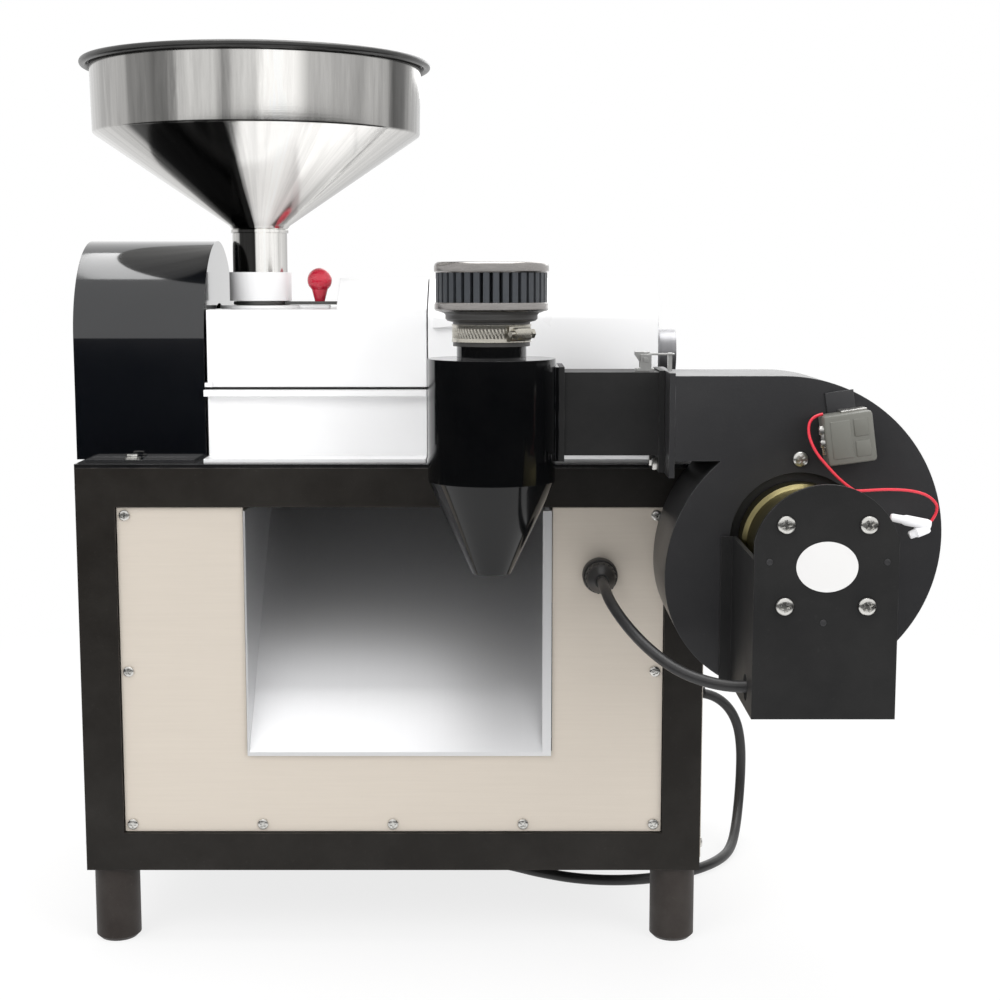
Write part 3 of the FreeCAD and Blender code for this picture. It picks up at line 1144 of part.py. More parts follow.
def cyclone():
    # a hanging separator: square inlet along its back, open cone below, pipe for clean air above
    drum = body("cyclone_body", x="cyclone_x", y="cyclone_y")
    back = "(duct_back - cyclone_y)"
    right = "(duct_left - cyclone_x)"
    pad(drum, "x", "0", right, rectangle("0", "outlet_low", back, "duct_top"))
    pad(drum, "x", right + " - duct_flange_left", "duct_flange_left",
        rectangle("-duct_flange_left", "outlet_low - duct_flange_left", back + " + duct_flange_left",
                  "duct_top + duct_flange_left"))
    turned(drum, "Revolution", "y", "V_Axis",
           [("0", "cyclone_low"), ("cyclone_outlet", "cyclone_low"), ("cyclone_radius", "cyclone_waist"),
            ("cyclone_radius", "cyclone_top"), ("pipe_radius", "cyclone_top"), ("pipe_radius", "pipe_top"),
            ("0", "pipe_top")])
    turned(drum, "Groove", "y", "V_Axis",
           [("0", "cyclone_low - overrun"), ("cyclone_outlet - cyclone_wall", "cyclone_low - overrun"),
            ("cyclone_outlet - cyclone_wall", "cyclone_low"),
            ("cyclone_radius - cyclone_wall", "cyclone_waist"),
            ("cyclone_radius - cyclone_wall", "cyclone_top - cyclone_wall"),
            ("pipe_radius", "cyclone_top - cyclone_wall"),
            ("pipe_radius", "pipe_low"), ("pipe_radius - cyclone_wall", "pipe_low"),
            ("pipe_radius - cyclone_wall", "pipe_top + overrun"), ("0", "pipe_top + overrun")])
    pocket(drum, "x", "cyclone_outlet", right + " + overrun",
           rectangle("pipe_radius + duct_wall", "outlet_low + duct_wall", back + " - cyclone_gap",
                     "duct_top - duct_wall"))


def air_filter():
    base = plain_body("filter_base", x="cyclone_x", y="cyclone_y")
    inner = "(pipe_radius + slip_gap / 3)"
    turned(base, "Revolution", "y", "V_Axis",
           [(inner, "sleeve_low"), (inner + " + sleeve_wall", "sleeve_low"),
            (inner + " + sleeve_wall", "base_low"),
            ("filter_radius - sleeve_wall", "base_level"), ("filter_radius", "base_level"),
            ("filter_radius", "base_ring_top"),
            ("filter_core", "base_ring_top"), ("filter_core", "pipe_top + slip_gap"),
            (inner, "pipe_top + slip_gap")])
    element = body("filter_element", x="cyclone_x", y="cyclone_y")
    outer = "(filter_radius - sleeve_wall / 2)"
    pad(element, "z", "base_ring_top", "cap_low - base_ring_top",
        rounds=[("0", "0", outer), ("0", "0", "filter_core")])
    groove = pocket(element, "z", "base_ring_top", "cap_low - base_ring_top",
                    [(outer + " - pleat_depth", "0"), (outer + " + overrun", "-pleat_depth / 3"),
                     (outer + " + overrun", "pleat_depth / 3")])
    ring_pattern(element, groove, "Z_Axis", "pleats")
    cap = plain_body("filter_cap", x="cyclone_x", y="cyclone_y")
    turned(cap, "Revolution", "y", "V_Axis",
           [("0", "cap_low"), ("filter_radius", "cap_low"), ("filter_radius", "filter_top - sleeve_wall"),
            ("filter_radius - sleeve_wall", "filter_top"), ("filter_core", "filter_top"),
            ("filter_core - sleeve_wall", "filter_top - sleeve_wall"), ("0", "filter_top - sleeve_wall")])
    grouped("filter_frame", [base, cap])
    clamp = body("hose_clamp", x="cyclone_x", y="cyclone_y")
    ring = "(%s + sleeve_wall)" % inner
    pad(clamp, "z", "clamp_low", "clamp_width", rounds=[("0", "0", ring + " + clamp_thick"),
                                                        ("0", "0", ring)])
    pad(clamp, "x", "0", "clamp_box",
        rectangle("-%s - clamp_box_height" % ring, "clamp_low + clamp_width / 2 - clamp_box_width / 2",
                  "-%s - clamp_thick / 2" % ring, "clamp_low + clamp_width / 2 + clamp_box_width / 2"))


def draw_latch():
    # a base plate on the duct, an over-centre lever with its wire loop, and a catch on the fan's flange
    base = plain_body("latch_base", y="latch_y")
    width = rectangle("latch_base_left", "duct_top", "latch_base_right", "duct_top + latch_base_thick")
    pad(base, "y", "-latch_width / 2", "latch_width", width)
    for front in ("-latch_width / 2", "latch_width / 2 - latch_base_thick"):
        pad(base, "y", front, "latch_base_thick",
            rectangle("latch_pivot_x - 2 * latch_pin", "duct_top + latch_base_thick / 2",
                      "latch_pivot_x + 2 * latch_pin",
                      "latch_pivot_level + 2 * latch_pin"))
    pocket(base, "y", "-latch_width / 2", "latch_width",
           rounds=[("latch_pivot_x", "latch_pivot_level", "latch_pin + run_gap")])
    inner = "(latch_width / 2 - latch_base_thick - slip_gap)"
    narrow = "(%s - latch_wire - slip_gap)" % inner
    pin_level = "(latch_pivot_level + 2 * latch_pin)"
    lever = body("latch_lever", y="latch_y")
    pad(lever, "y", "-" + narrow, "2 * " + narrow,
        [("latch_pivot_x - latch_lever_length", pin_level),
         ("latch_pivot_x - 2 * latch_pin", "latch_pivot_level - latch_pin"),
         ("latch_pivot_x + 1.5 * latch_pin", "latch_pivot_level - latch_pin"),
         ("latch_pivot_x + 1.5 * latch_pin", pin_level + " + latch_pin"),
         ("latch_pivot_x - latch_lever_length", pin_level + " + latch_pin")])
    pad(lever, "y", "-latch_width / 2 - slip_gap", "latch_width + 2 * slip_gap",
        rounds=[("latch_pivot_x", "latch_pivot_level", "latch_pin")])
    pad(lever, "y", "-" + inner, "2 * " + inner, rounds=[("latch_pivot_x", pin_level, "latch_pin / 2")])
    catch = plain_body("latch_catch", y="latch_y")
    pad(catch, "y", "slip_gap - " + narrow, "2 * %s - 2 * slip_gap" % narrow,
        rectangle("catch_x - catch_thick / 2", "duct_top", "catch_x + catch_thick / 2",
                  "duct_top + catch_height"))
    grouped("latch_plates", [base, catch])
    # the wire loop turns on the lever's second pin and reaches round the catch
    loop = body("latch_loop", y="latch_y")
    far = "(catch_x + catch_thick / 2 + slip_gap)"
    low = pin_level + " - latch_wire / 2"
    high = pin_level + " + latch_wire / 2"
    for start in ("-" + inner, narrow + " + slip_gap"):
        pad(loop, "y", start, "latch_wire", rounds=[("latch_pivot_x", pin_level, "latch_pin - slip_gap")])
        pad(loop, "y", start, "latch_wire", rectangle("latch_pivot_x", low, far + " + latch_wire", high))
    pad(loop, "y", "-" + inner, "2 * " + inner, rectangle(far, low, far + " + latch_wire", high))
    pocket(loop, "y", "-latch_width", "2 * latch_width",
           rounds=[("latch_pivot_x", pin_level, "latch_pin / 2 + run_gap")])


def suction_duct():
    # an elbow box from the discharge box to the eye of the fan
    duct = body("suction_duct")
    outer_step = "stand_width / 2 + suction_clear"
    pad(duct, "y", "scroll_back + slip_gap", "suction_rear - scroll_back - slip_gap",
        [("box_right + slip_gap", "suction_underside"), (outer_step, "suction_underside"),
         (outer_step, "suction_floor"),
         ("suction_right", "suction_floor"), ("suction_right", "suction_roof"),
         ("box_right + slip_gap", "suction_roof")])
    wall = "suction_wall"
    left = "box_right + slip_gap + suction_wall"
    step = outer_step + " + suction_wall"
    right = "suction_right - suction_wall"
    floor = "suction_floor + suction_wall"
    sill = "suction_underside + suction_wall"
    roof = "suction_roof - suction_wall"
    pocket(duct, "y", "scroll_back + slip_gap + suction_wall",
           "suction_rear - scroll_back - slip_gap - 2 * suction_wall",
           [(left, sill), (step, sill), (step, floor), (right, floor), (right, roof), (left, roof)])
    pocket(duct, "y", "scroll_back", "2 * suction_wall", rounds=[("fan_x", "fan_z", "fan_inlet")])
    pocket(duct, "x", "box_right", "2 * suction_wall",
           rectangle("suction_front", "suction_low", "suction_back", "suction_high"))


def gland(name, foot, quarter_turns, bore, shares):
    # a nut against the sheet, a domed clamp and a tapered tail, each its share of the full length
    unit = plain_body(name, *foot)
    nut, dome, tail = ["gland_%s * %s" % pair for pair in zip(("nut", "dome", "tail"), shares)]
    clamp = nut + " + " + dome
    turned(unit, "Revolution", "y", "H_Axis",
           [("-gland_inside", bore), ("-gland_inside", "gland_radius - gland_lap - slip_gap"),
            ("0", "gland_radius - gland_lap - slip_gap"), ("0", "gland_radius"), (nut, "gland_radius"),
            (nut, "gland_radius - gland_lap"),
            (clamp, "gland_radius - gland_lap"), ("%s + %s" % (clamp, tail), bore + " + gland_lap / 2"),
            ("%s + %s" % (clamp, tail), bore)])
    unit.Placement.Rotation = FreeCAD.Rotation(FreeCAD.Vector(0, 0, 1), quarter_turns * 90)
    return unit


def wire_tube(points, radius):
    # straight runs joined by tangent arcs, each as large as its two runs allow
    spots = [FreeCAD.Vector(*point) for point in points]
    edges = []
    radii = []
    last = spots[0]
    for before, corner, after in zip(spots, spots[1:], spots[2:]):
        back = before.sub(corner)
        ahead = after.sub(corner)
        reach = run_share * min(back.Length, ahead.Length)
        half_turn = (math.pi - back.getAngle(ahead)) / 2
        radii.append(reach / math.tan(half_turn))
        start = corner.add(back.normalize().multiply(reach))
        end = corner.add(ahead.normalize().multiply(reach))
        middle = start.add(end).multiply(1 / 2)
        sagitta = radii[-1] * (1 - math.cos(half_turn))
        inwards = corner.sub(middle).normalize().multiply(sagitta)
        edges.append(Part.LineSegment(last, start).toShape())
        edges.append(Part.Arc(start, middle.add(inwards), end).toShape())
        last = end
    edges.append(Part.LineSegment(last, spots[-1]).toShape())
    return swept(edges, spots[0], spots[1].sub(spots[0]), radius), min(radii)


def swept(edges, start, heading, radius):
    # a round section carried along edges that follow each other smoothly
    path = Part.Wire(edges)
    section = Part.Wire([Part.Circle(start, heading, radius).toShape()])
    tube = path.makePipeShell([section], True, False)
    expected = math.pi * radius ** 2 * path.Length
    print("tube: length %.0f, volume against section times length %.4f" % (path.Length,
                                                                           tube.Volume / expected))
    return tube


def free_cord(label, points, radius):
    tube, tightest = wire_tube(points, number(radius))
    print("%s: smallest radius %.1f" % (label, tightest))
    return tube


def biarc(start, heading, end, leaving):
    # two arcs that touch each other and keep both headings
    gap = end.sub(start)
    both = heading.add(leaving)
    spread = 2 * (1 - heading.dot(leaving))
    half = gap.dot(both)
    if spread < tiny_share:
        reach = gap.Length ** 2 / (2 * half)
    else:
        reach = (math.sqrt(half ** 2 + spread * gap.Length ** 2) - half) / spread
    first = start.add(FreeCAD.Vector(heading).multiply(reach))
    second = end.sub(FreeCAD.Vector(leaving).multiply(reach))
    joint = first.add(second).multiply(1 / 2)
    edges = []
    for tail, corner, head in ((start, first, joint), (joint, second, end)):
        middle = tail.add(head).multiply(1 / 2)
        rise = corner.sub(middle).Length
        chord = head.sub(tail).Length / 2
        bend = reach * chord / rise
        inwards = corner.sub(middle).normalize().multiply(bend - math.sqrt(bend ** 2 - chord ** 2))
        edges.append(Part.Arc(tail, middle.add(inwards), head).toShape())
    return edges


def coil_spot(turn):
    # the coil's middle line, counted in turns from its outer end: in, up one layer, and out again
    count = number("coil_turns")
    pitch = number("coil_pitch")
    outer = number("coil_outer")
    low = number("cord_radius")
    if turn <= count:
        radius, level = outer - pitch * turn, low
    elif turn <= count + 1 / 2:
        part = turn - count
        radius = outer - pitch * (count + min(part, 1 / 2 - part))
        level = low + pitch * (1 - math.cos(2 * math.pi * part)) / 2
    else:
        radius, level = outer - pitch * (2 * count + 1 / 2 - turn), low + pitch
    angle = -2 * math.pi * turn - math.pi / 2
    return FreeCAD.Vector(number("coil_x") + radius * math.cos(angle),
                          number("coil_y") + radius * math.sin(angle), level)


def coil_heading(turn):
    return coil_spot(turn + tiny_share).sub(coil_spot(turn - tiny_share)).normalize()


def cord_coil():
    turns_in_all = 2 * number("coil_turns") + 1 / 2
    quarters = round(4 * turns_in_all)
    ends = {0: FreeCAD.Vector(-1, 0, 0), quarters: FreeCAD.Vector(1, 0, 0)}
    start = coil_spot(0)
    lead_in = start.add(FreeCAD.Vector(number("2 * cord_radius"), 0, 0))
    edges = [Part.LineSegment(lead_in, start).toShape()]
    for quarter in range(quarters):
        turn = quarter * turns_in_all / quarters
        following = (quarter + 1) * turns_in_all / quarters
        edges += biarc(coil_spot(turn), ends.get(quarter) or coil_heading(turn),
                       coil_spot(following), ends.get(quarter + 1) or coil_heading(following))
    end = coil_spot(turns_in_all)
    edges.append(Part.LineSegment(end, end.add(FreeCAD.Vector(number("coil_tail"), 0, 0))).toShape())
    coil = doc.addObject("Part::Feature", "cord_coil")
    coil.Shape = swept(edges, lead_in, start.sub(lead_in), number("cord_radius"))
    place(coil)
    finished(coil, "cord_coil")
    spots = [spot for edge in edges for spot in edge.discretize(Number=6)[:-1]]
    step = 3 * number("cord_radius") * 2
    walked = [0]
    for here, there in zip(spots, spots[1:]):
        walked.append(walked[-1] + there.distanceToPoint(here))
    gaps = [spots[i].distanceToPoint(spots[j]) for i in range(len(spots)) for j in range(i)
            if walked[i] - walked[j] > step]
    print("cord_coil: least gap to itself %.2f" % (min(gaps) - 2 * number("cord_radius")))


def cords():
    # routes chosen by hand along the photographed lines, in the stand's frame
    lead_in = coil_spot(0).add(FreeCAD.Vector(number("2 * cord_radius"), 0, 0))
    mains = [(253.5, 255, 140), (273.5, 255, 140), (292, 256, 130.5), (304, 258.5, 112.5), (309, 262, 88),
             (309.5, 264, 60), (307, 256, 36), (302, 237, 17), (295, 213, 6.5), (284, 187, 4.6),
             (262, 160, 4.6),
             (230, 139, 4.6), (192, 128, 4.6), (152, 132, 4.6), (118, 149, 4.6), (94, 167, 4.5),
             (74, 178, 4.5),
             tuple(lead_in)]
    supply = [(160.2, -27, 294.5), (160.5, -52, 294.3), (163, -84, 289), (172, -115, 279), (186, -140, 267),
              (205, -160, 256), (229, -172, 250), (252, -176, 249.5), (270, -177, 253.5), (284, -177, 264.5),
              (292, -176.5, 279), (294, -175.3, 291.2)]
    red_high = [(306.5, -112, 427), (298.5, -113, 425.5), (295.5, -116, 415), (300, -121, 402),
                (309, -126, 391),
                (318, -130, 381.5), (329, -133, 374), (341, -134, 365), (350.7, -133, 354.8)]
    red_low = [(292, -150, 376.5), (298, -150, 380), (309, -149, 379.5), (323, -147, 377.5),
               (345, -142, 378.5),
               (365, -138, 377), (378, -135, 372), (384, -133, 363), (378.5, -133, 355.4)]
    for label, points, radius in (("mains_cord", mains, "cord_radius"),
                                  ("fan_cable", supply, "fan_cable_radius")):
        cord = doc.addObject("Part::Feature", label)
        cord.Shape = free_cord(label, points, radius)
        place(cord)
        finished(cord, label)
    leads = []
    for label, points in (("red_lead_high", red_high), ("red_lead_low", red_low)):
        lead = doc.addObject("Part::Feature", label)
        lead.Shape = free_cord(label, points, "lead_radius")
        place(lead)
        leads.append(lead)
    grouped("red_leads", leads)


def plug():
    # a moulded body on a tapered neck, with two round pins
    unit = body("mains_plug", x="coil_x + coil_tail", y="coil_y + coil_outer", z="cord_radius + coil_pitch")
    turned(unit, "Revolution", "y", "H_Axis",
           [("0", "0"), ("0", "cord_radius + plug_edge"), ("plug_neck", "cord_radius + 2 * plug_edge"),
            ("plug_neck + plug_edge", "plug_radius"), ("plug_neck + plug_length", "plug_radius"),
            ("plug_neck + plug_length", "0")])
    for sign in ("-", ""):
        pad(unit, "x", "plug_neck + plug_length - plug_edge", "pin_length + plug_edge",
            rounds=[("%splug_pin_spacing / 2" % sign, "0", "plug_pin_radius")])


def wire_connectors():
    # two crimped sleeves where the red leads meet
    sleeves = []
    for name, drop in (("upper", "0"), ("lower", "2 * crimp_radius + slip_gap")):
        sleeve = rod("sleeve_%s" % name, "x", ("crimp_x", "crimp_y", "crimp_z - (%s)" % drop), "crimp_radius",
                     "crimp_length")
        sleeves.append(sleeve)
    grouped("wire_connectors", sleeves)


def switch():
    case = body("switch_case", x="stand_width / 2 + panel_thick", y="switch_y", z="switch_z")
    pad(case, "x", "0", "switch_rim",
        rectangle("-switch_width / 2 - switch_rim", "-switch_height / 2 - switch_rim",
                  "switch_width / 2 + switch_rim",
                  "switch_height / 2 + switch_rim"))
    pad(case, "x", "-switch_depth", "switch_depth",
        rectangle("-switch_width / 2 + slip_gap", "-switch_height / 2 + slip_gap",
                  "switch_width / 2 - slip_gap",
                  "switch_height / 2 - slip_gap"))
    pocket(case, "x", "-switch_depth / 2", "switch_depth",
           rectangle("-rocker_width / 2 - slip_gap", "-rocker_height / 2 - slip_gap",
                     "rocker_width / 2 + slip_gap",
                     "rocker_height / 2 + slip_gap"))
    rocker = body("switch_rocker", x="stand_width / 2 + panel_thick", y="switch_y", z="switch_z")
    pad(rocker, "y", "-rocker_width / 2", "rocker_width",
        [("-switch_rim", "-rocker_height / 2 + rocker_proud / 2"),
         ("switch_rim", "-rocker_height / 2 + rocker_proud / 4"),
         ("switch_rim + rocker_proud", "-rocker_height / 2 + rocker_proud / 2"),
         ("switch_rim + rocker_proud / 4", "0"),
         ("switch_rim + rocker_proud / 2", "rocker_height / 2 - rocker_proud / 2"),
         ("-switch_rim", "rocker_height / 2 - rocker_proud / 2")])


stand_frame()
feet()
deck()
panels()
panel_screws()
chute()
belt_guard()
v_belts()
main_rotor()
main_motor()
bearings()
lower_casing()
cover_gasket()
upper_cover()
chamber()
hopper()
spout()
feed_gate()
discharge_box()
outlet_flap()
fan_scroll()
impeller()
fan_motor()
motor_bracket()
capacitor()
outlet_duct()
cyclone()
air_filter()
draw_latch()
suction_duct()
front_gland = gland("front_gland", ("gland_x", "ledge_recess", "gland_z"), -1, "fan_cable_radius", (1, 1, 1))
side_spot = ("stand_width / 2 + panel_thick", "stand_depth - side_gland_back", "side_gland_z")
side_gland = gland("side_gland", side_spot, 0, "cord_radius", side_gland_shares)
grouped("cable_glands", [front_gland, side_gland])
switch()
cords()
cord_coil()
plug()
wire_connectors()
grouped("fasteners", fasteners)
doc.recompute()

# every piece is checked before it is written
os.makedirs("parts", exist_ok=True)
for item in doc.Objects:
    if {"Invalid", "Error"} & set(item.State):
        raise RuntimeError("%s did not recompute" % item.Name)
for piece in pieces:
    if piece.Shape.isNull() or not piece.Shape.isValid():
        raise RuntimeError("%s has no valid shape" % piece.Label)
    box = piece.Shape.BoundBox
    print(piece.Label, len(piece.Shape.Solids), round(piece.Shape.Volume),
          [round(v, 1) for v in (box.XMin, box.YMin, box.ZMin, box.XMax, box.YMax, box.ZMax)])
    piece.Shape.exportStep("parts/%s.step" % piece.Label)
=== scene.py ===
import math
import bmesh
import bpy
from mathutils import Matrix, Vector


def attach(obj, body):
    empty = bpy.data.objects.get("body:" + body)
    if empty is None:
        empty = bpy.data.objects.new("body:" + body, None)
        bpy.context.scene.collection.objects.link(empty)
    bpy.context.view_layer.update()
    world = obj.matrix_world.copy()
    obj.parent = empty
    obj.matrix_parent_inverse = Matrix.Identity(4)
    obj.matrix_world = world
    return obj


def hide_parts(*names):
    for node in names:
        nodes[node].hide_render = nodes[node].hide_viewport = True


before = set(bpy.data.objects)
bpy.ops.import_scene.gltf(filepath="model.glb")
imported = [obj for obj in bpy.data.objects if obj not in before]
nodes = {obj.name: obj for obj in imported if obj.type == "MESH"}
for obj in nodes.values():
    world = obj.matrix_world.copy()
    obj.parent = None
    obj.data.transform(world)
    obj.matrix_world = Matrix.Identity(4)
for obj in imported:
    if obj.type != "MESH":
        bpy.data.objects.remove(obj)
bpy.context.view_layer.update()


# the stand's own millimetres start at the middle of its front face, at the floor
origin = {"x": 72.3, "y": 63.35}


def spot(x, y, z):
    # from the stand's own millimetres to the scene's metres
    return Vector(((x - origin["x"]) / 1000, (y - origin["y"]) / 1000, z / 1000))


# the camera stands to the right of the middle and looks a little down
viewpoint = {"eye": (83.7, -1281, 519.4), "down": 7.42, "lens": 61.06}
camera = bpy.data.objects.new("camera", bpy.data.cameras.new("camera"))
camera.data.lens = viewpoint["lens"]
camera.data.sensor_width = 36
camera.data.clip_start = 0.05
camera.location = spot(*viewpoint["eye"])
camera.rotation_euler = (math.radians(90 - viewpoint["down"]), 0, 0)
bpy.context.scene.collection.objects.link(camera)
bpy.context.scene.camera = camera
bpy.context.scene.view_settings.view_transform = "Standard"


# finishes are built from a few shared node groups
def newGroup(name, inputs, outputs):
    tree = bpy.data.node_groups.new(name, "ShaderNodeTree")
    for label, kind, value in inputs:
        socket = tree.interface.new_socket(name=label, in_out="INPUT", socket_type=kind)
        if value is not None:
            socket.default_value = value
    for label, kind in outputs:
        tree.interface.new_socket(name=label, in_out="OUTPUT", socket_type=kind)
    return tree, tree.nodes.new("NodeGroupInput"), tree.nodes.new("NodeGroupOutput")


def addNode(tree, kind, links=None, **values):
    # links name or number an input and what feeds it; the other values are set on the node itself
    node = tree.nodes.new(kind)
    for key, value in values.items():
        setattr(node, key, value)
    for key, source in (links or {}).items():
        if isinstance(source, bpy.types.NodeSocket):
            tree.links.new(source, node.inputs[key])
        else:
            node.inputs[key].default_value = source
    return node


def rangeNode(tree, value, low=0.0, high=1.0, toLow=0.0, toHigh=1.0):
    # stretches one range of values onto another
    return addNode(tree, "ShaderNodeMapRange", {"Value": value, "From Min": low, "From Max": high,
                                                "To Min": toLow, "To Max": toHigh})


def noiseNode(tree, vector, scale, detail=2.0, roughness=0.5):
    return addNode(tree, "ShaderNodeTexNoise", {"Vector": vector, "Scale": scale, "Detail": detail,
                                                "Roughness": roughness})


def mathNode(tree, operation, first, second=0.0, clamp=False):
    return addNode(tree, "ShaderNodeMath", {0: first, 1: second}, operation=operation,
                   use_clamp=clamp).outputs[0]


def mixColour(tree, share, first, second, blend="MIX"):
    return addNode(tree, "ShaderNodeMix", {0: share, 6: first, 7: second}, data_type="RGBA",
                   blend_type=blend).outputs[2]


def makeEdgeWear():
    # soft corners, and a mask that is bright along them and broken up by noise
    tree, given, out = newGroup("edgeWear", [("Vector", "NodeSocketVector", None),
                                             ("Radius", "NodeSocketFloat", 0.0006),
                                             ("Breaks", "NodeSocketFloat", 60.0)],
                                [("Mask", "NodeSocketFloat"), ("Normal", "NodeSocketVector")])
    bevel = addNode(tree, "ShaderNodeBevel", {"Radius": given.outputs["Radius"]}, samples=4)
    plain = addNode(tree, "ShaderNodeNewGeometry")
    turn = addNode(tree, "ShaderNodeVectorMath", {0: bevel.outputs[0], 1: plain.outputs["Normal"]},
                   operation="DOT_PRODUCT")
    edge = rangeNode(tree, turn.outputs["Value"], 0.995, 0.86)
    noise = noiseNode(tree, given.outputs["Vector"], given.outputs["Breaks"], detail=5.0)
    broken = rangeNode(tree, noise.outputs["Fac"], 0.4, 0.62)
    tree.links.new(mathNode(tree, "MULTIPLY", edge.outputs[0], broken.outputs[0], True), out.inputs["Mask"])
    tree.links.new(bevel.outputs[0], out.inputs["Normal"])
    return tree


def makeGrain():
    # fine brushing: Stretch gives the marks per metre along each axis
    tree, given, out = newGroup("grain", [("Vector", "NodeSocketVector", None),
                                          ("Stretch", "NodeSocketVector", (30, 30, 900)),
                                          ("Contrast", "NodeSocketFloat", 0.5)],
                                [("Shade", "NodeSocketFloat"), ("Height", "NodeSocketFloat")])
    scaled = addNode(tree, "ShaderNodeVectorMath", {0: given.outputs["Vector"], 1: given.outputs["Stretch"]},
                     operation="MULTIPLY")
    noise = noiseNode(tree, scaled.outputs[0], 1.0, detail=6.0, roughness=0.65)
    centred = mathNode(tree, "SUBTRACT", noise.outputs["Fac"], 0.5)
    shade = mathNode(tree, "ADD", mathNode(tree, "MULTIPLY", centred, given.outputs["Contrast"]), 0.5, True)
    tree.links.new(shade, out.inputs["Shade"])
    tree.links.new(noise.outputs["Fac"], out.inputs["Height"])
    return tree


def makeDust():
    # cloudy dust that lies thickest on what faces up, with a few small specks
    tree, given, out = newGroup("dust", [("Vector", "NodeSocketVector", None),
                                         ("Scale", "NodeSocketFloat", 9.0),
                                         ("Amount", "NodeSocketFloat", 0.2)], [("Mask", "NodeSocketFloat")])
    cloud = noiseNode(tree, given.outputs["Vector"], given.outputs["Scale"], detail=7.0, roughness=0.7)
    patches = rangeNode(tree, cloud.outputs["Fac"], 0.42, 0.75)
    specks = noiseNode(tree, given.outputs["Vector"], 420.0, detail=2.0)
    dots = rangeNode(tree, specks.outputs["Fac"], 0.68, 0.74)
    surface = addNode(tree, "ShaderNodeNewGeometry")
    facing = addNode(tree, "ShaderNodeSeparateXYZ", {0: surface.outputs["Normal"]})
    upwards = rangeNode(tree, facing.outputs["Z"], -0.2, 1.0, toLow=0.35, toHigh=1.0)
    both = mathNode(tree, "ADD", patches.outputs[0], mathNode(tree, "MULTIPLY", dots.outputs[0], 0.5))
    mask = mathNode(tree, "MULTIPLY", mathNode(tree, "MULTIPLY", both, upwards.outputs[0]),
                    given.outputs["Amount"], True)
    tree.links.new(mask, out.inputs["Mask"])
    return tree


def makePeel():
    # the slight waviness of sprayed and moulded skins, and a slow drift of their gloss
    tree, given, out = newGroup("peel", [("Vector", "NodeSocketVector", None),
                                         ("Scale", "NodeSocketFloat", 260.0),
                                         ("Gloss", "NodeSocketFloat", 0.3),
                                         ("Drift", "NodeSocketFloat", 0.08)],
                                [("Height", "NodeSocketFloat"), ("Roughness", "NodeSocketFloat")])
    fine = noiseNode(tree, given.outputs["Vector"], given.outputs["Scale"], detail=3.0)
    slow = noiseNode(tree, given.outputs["Vector"], 14.0, detail=4.0)
    drift = mathNode(tree, "MULTIPLY", mathNode(tree, "SUBTRACT", slow.outputs["Fac"], 0.5),
                     mathNode(tree, "MULTIPLY", given.outputs["Drift"], 4.0))
    tree.links.new(fine.outputs["Fac"], out.inputs["Height"])
    tree.links.new(mathNode(tree, "ADD", given.outputs["Gloss"], drift, True), out.inputs["Roughness"])
    return tree


groups = {"edgeWear": makeEdgeWear(), "grain": makeGrain(), "dust": makeDust(), "peel": makePeel()}


def useGroup(tree, name, **links):
    return addNode(tree, "ShaderNodeGroup", links, node_tree=groups[name])


def newFinish(name):
    finish = bpy.data.materials.new(name)
    finish.use_nodes = True
    tree = finish.node_tree
    tree.nodes.clear()
    shader = tree.nodes.new("ShaderNodeBsdfPrincipled")
    out = tree.nodes.new("ShaderNodeOutputMaterial")
    tree.links.new(shader.outputs[0], out.inputs[0])
    place = tree.nodes.new("ShaderNodeTexCoord").outputs["Object"]
    return finish, tree, shader, place


def coat(name, colour, worn, gloss=0.35, drift=0.06, clear=0.0, peel=260.0, depth=0.02, edge=0.0006, wear=0.5,
         dust=0.15, dusty=(0.45, 0.43, 0.4), metal=0.0, shine=0.5):
    # paint, plastic and rubber: a skin with soft worn edges and a little dust
    finish, tree, shader, place = newFinish(name)
    corners = useGroup(tree, "edgeWear", Vector=place, Radius=edge)
    skin = useGroup(tree, "peel", Vector=place, Scale=peel, Gloss=gloss, Drift=drift)
    powder = useGroup(tree, "dust", Vector=place, Amount=dust)
    rubbed = mixColour(tree, mathNode(tree, "MULTIPLY", corners.outputs["Mask"], wear), (*colour, 1),
                       (*worn, 1))
    tone = mixColour(tree, powder.outputs["Mask"], rubbed, (*dusty, 1))
    tree.links.new(tone, shader.inputs["Base Color"])
    tree.links.new(skin.outputs["Roughness"], shader.inputs["Roughness"])
    shader.inputs["Metallic"].default_value = metal
    shader.inputs["Specular IOR Level"].default_value = shine
    shader.inputs["Coat Weight"].default_value = clear
    shader.inputs["Coat Roughness"].default_value = 0.06
    bump = addNode(tree, "ShaderNodeBump", {"Height": skin.outputs["Height"],
                                            "Normal": corners.outputs["Normal"], "Strength": depth,
                                            "Distance": 0.001})
    tree.links.new(bump.outputs[0], shader.inputs["Normal"])
    return finish


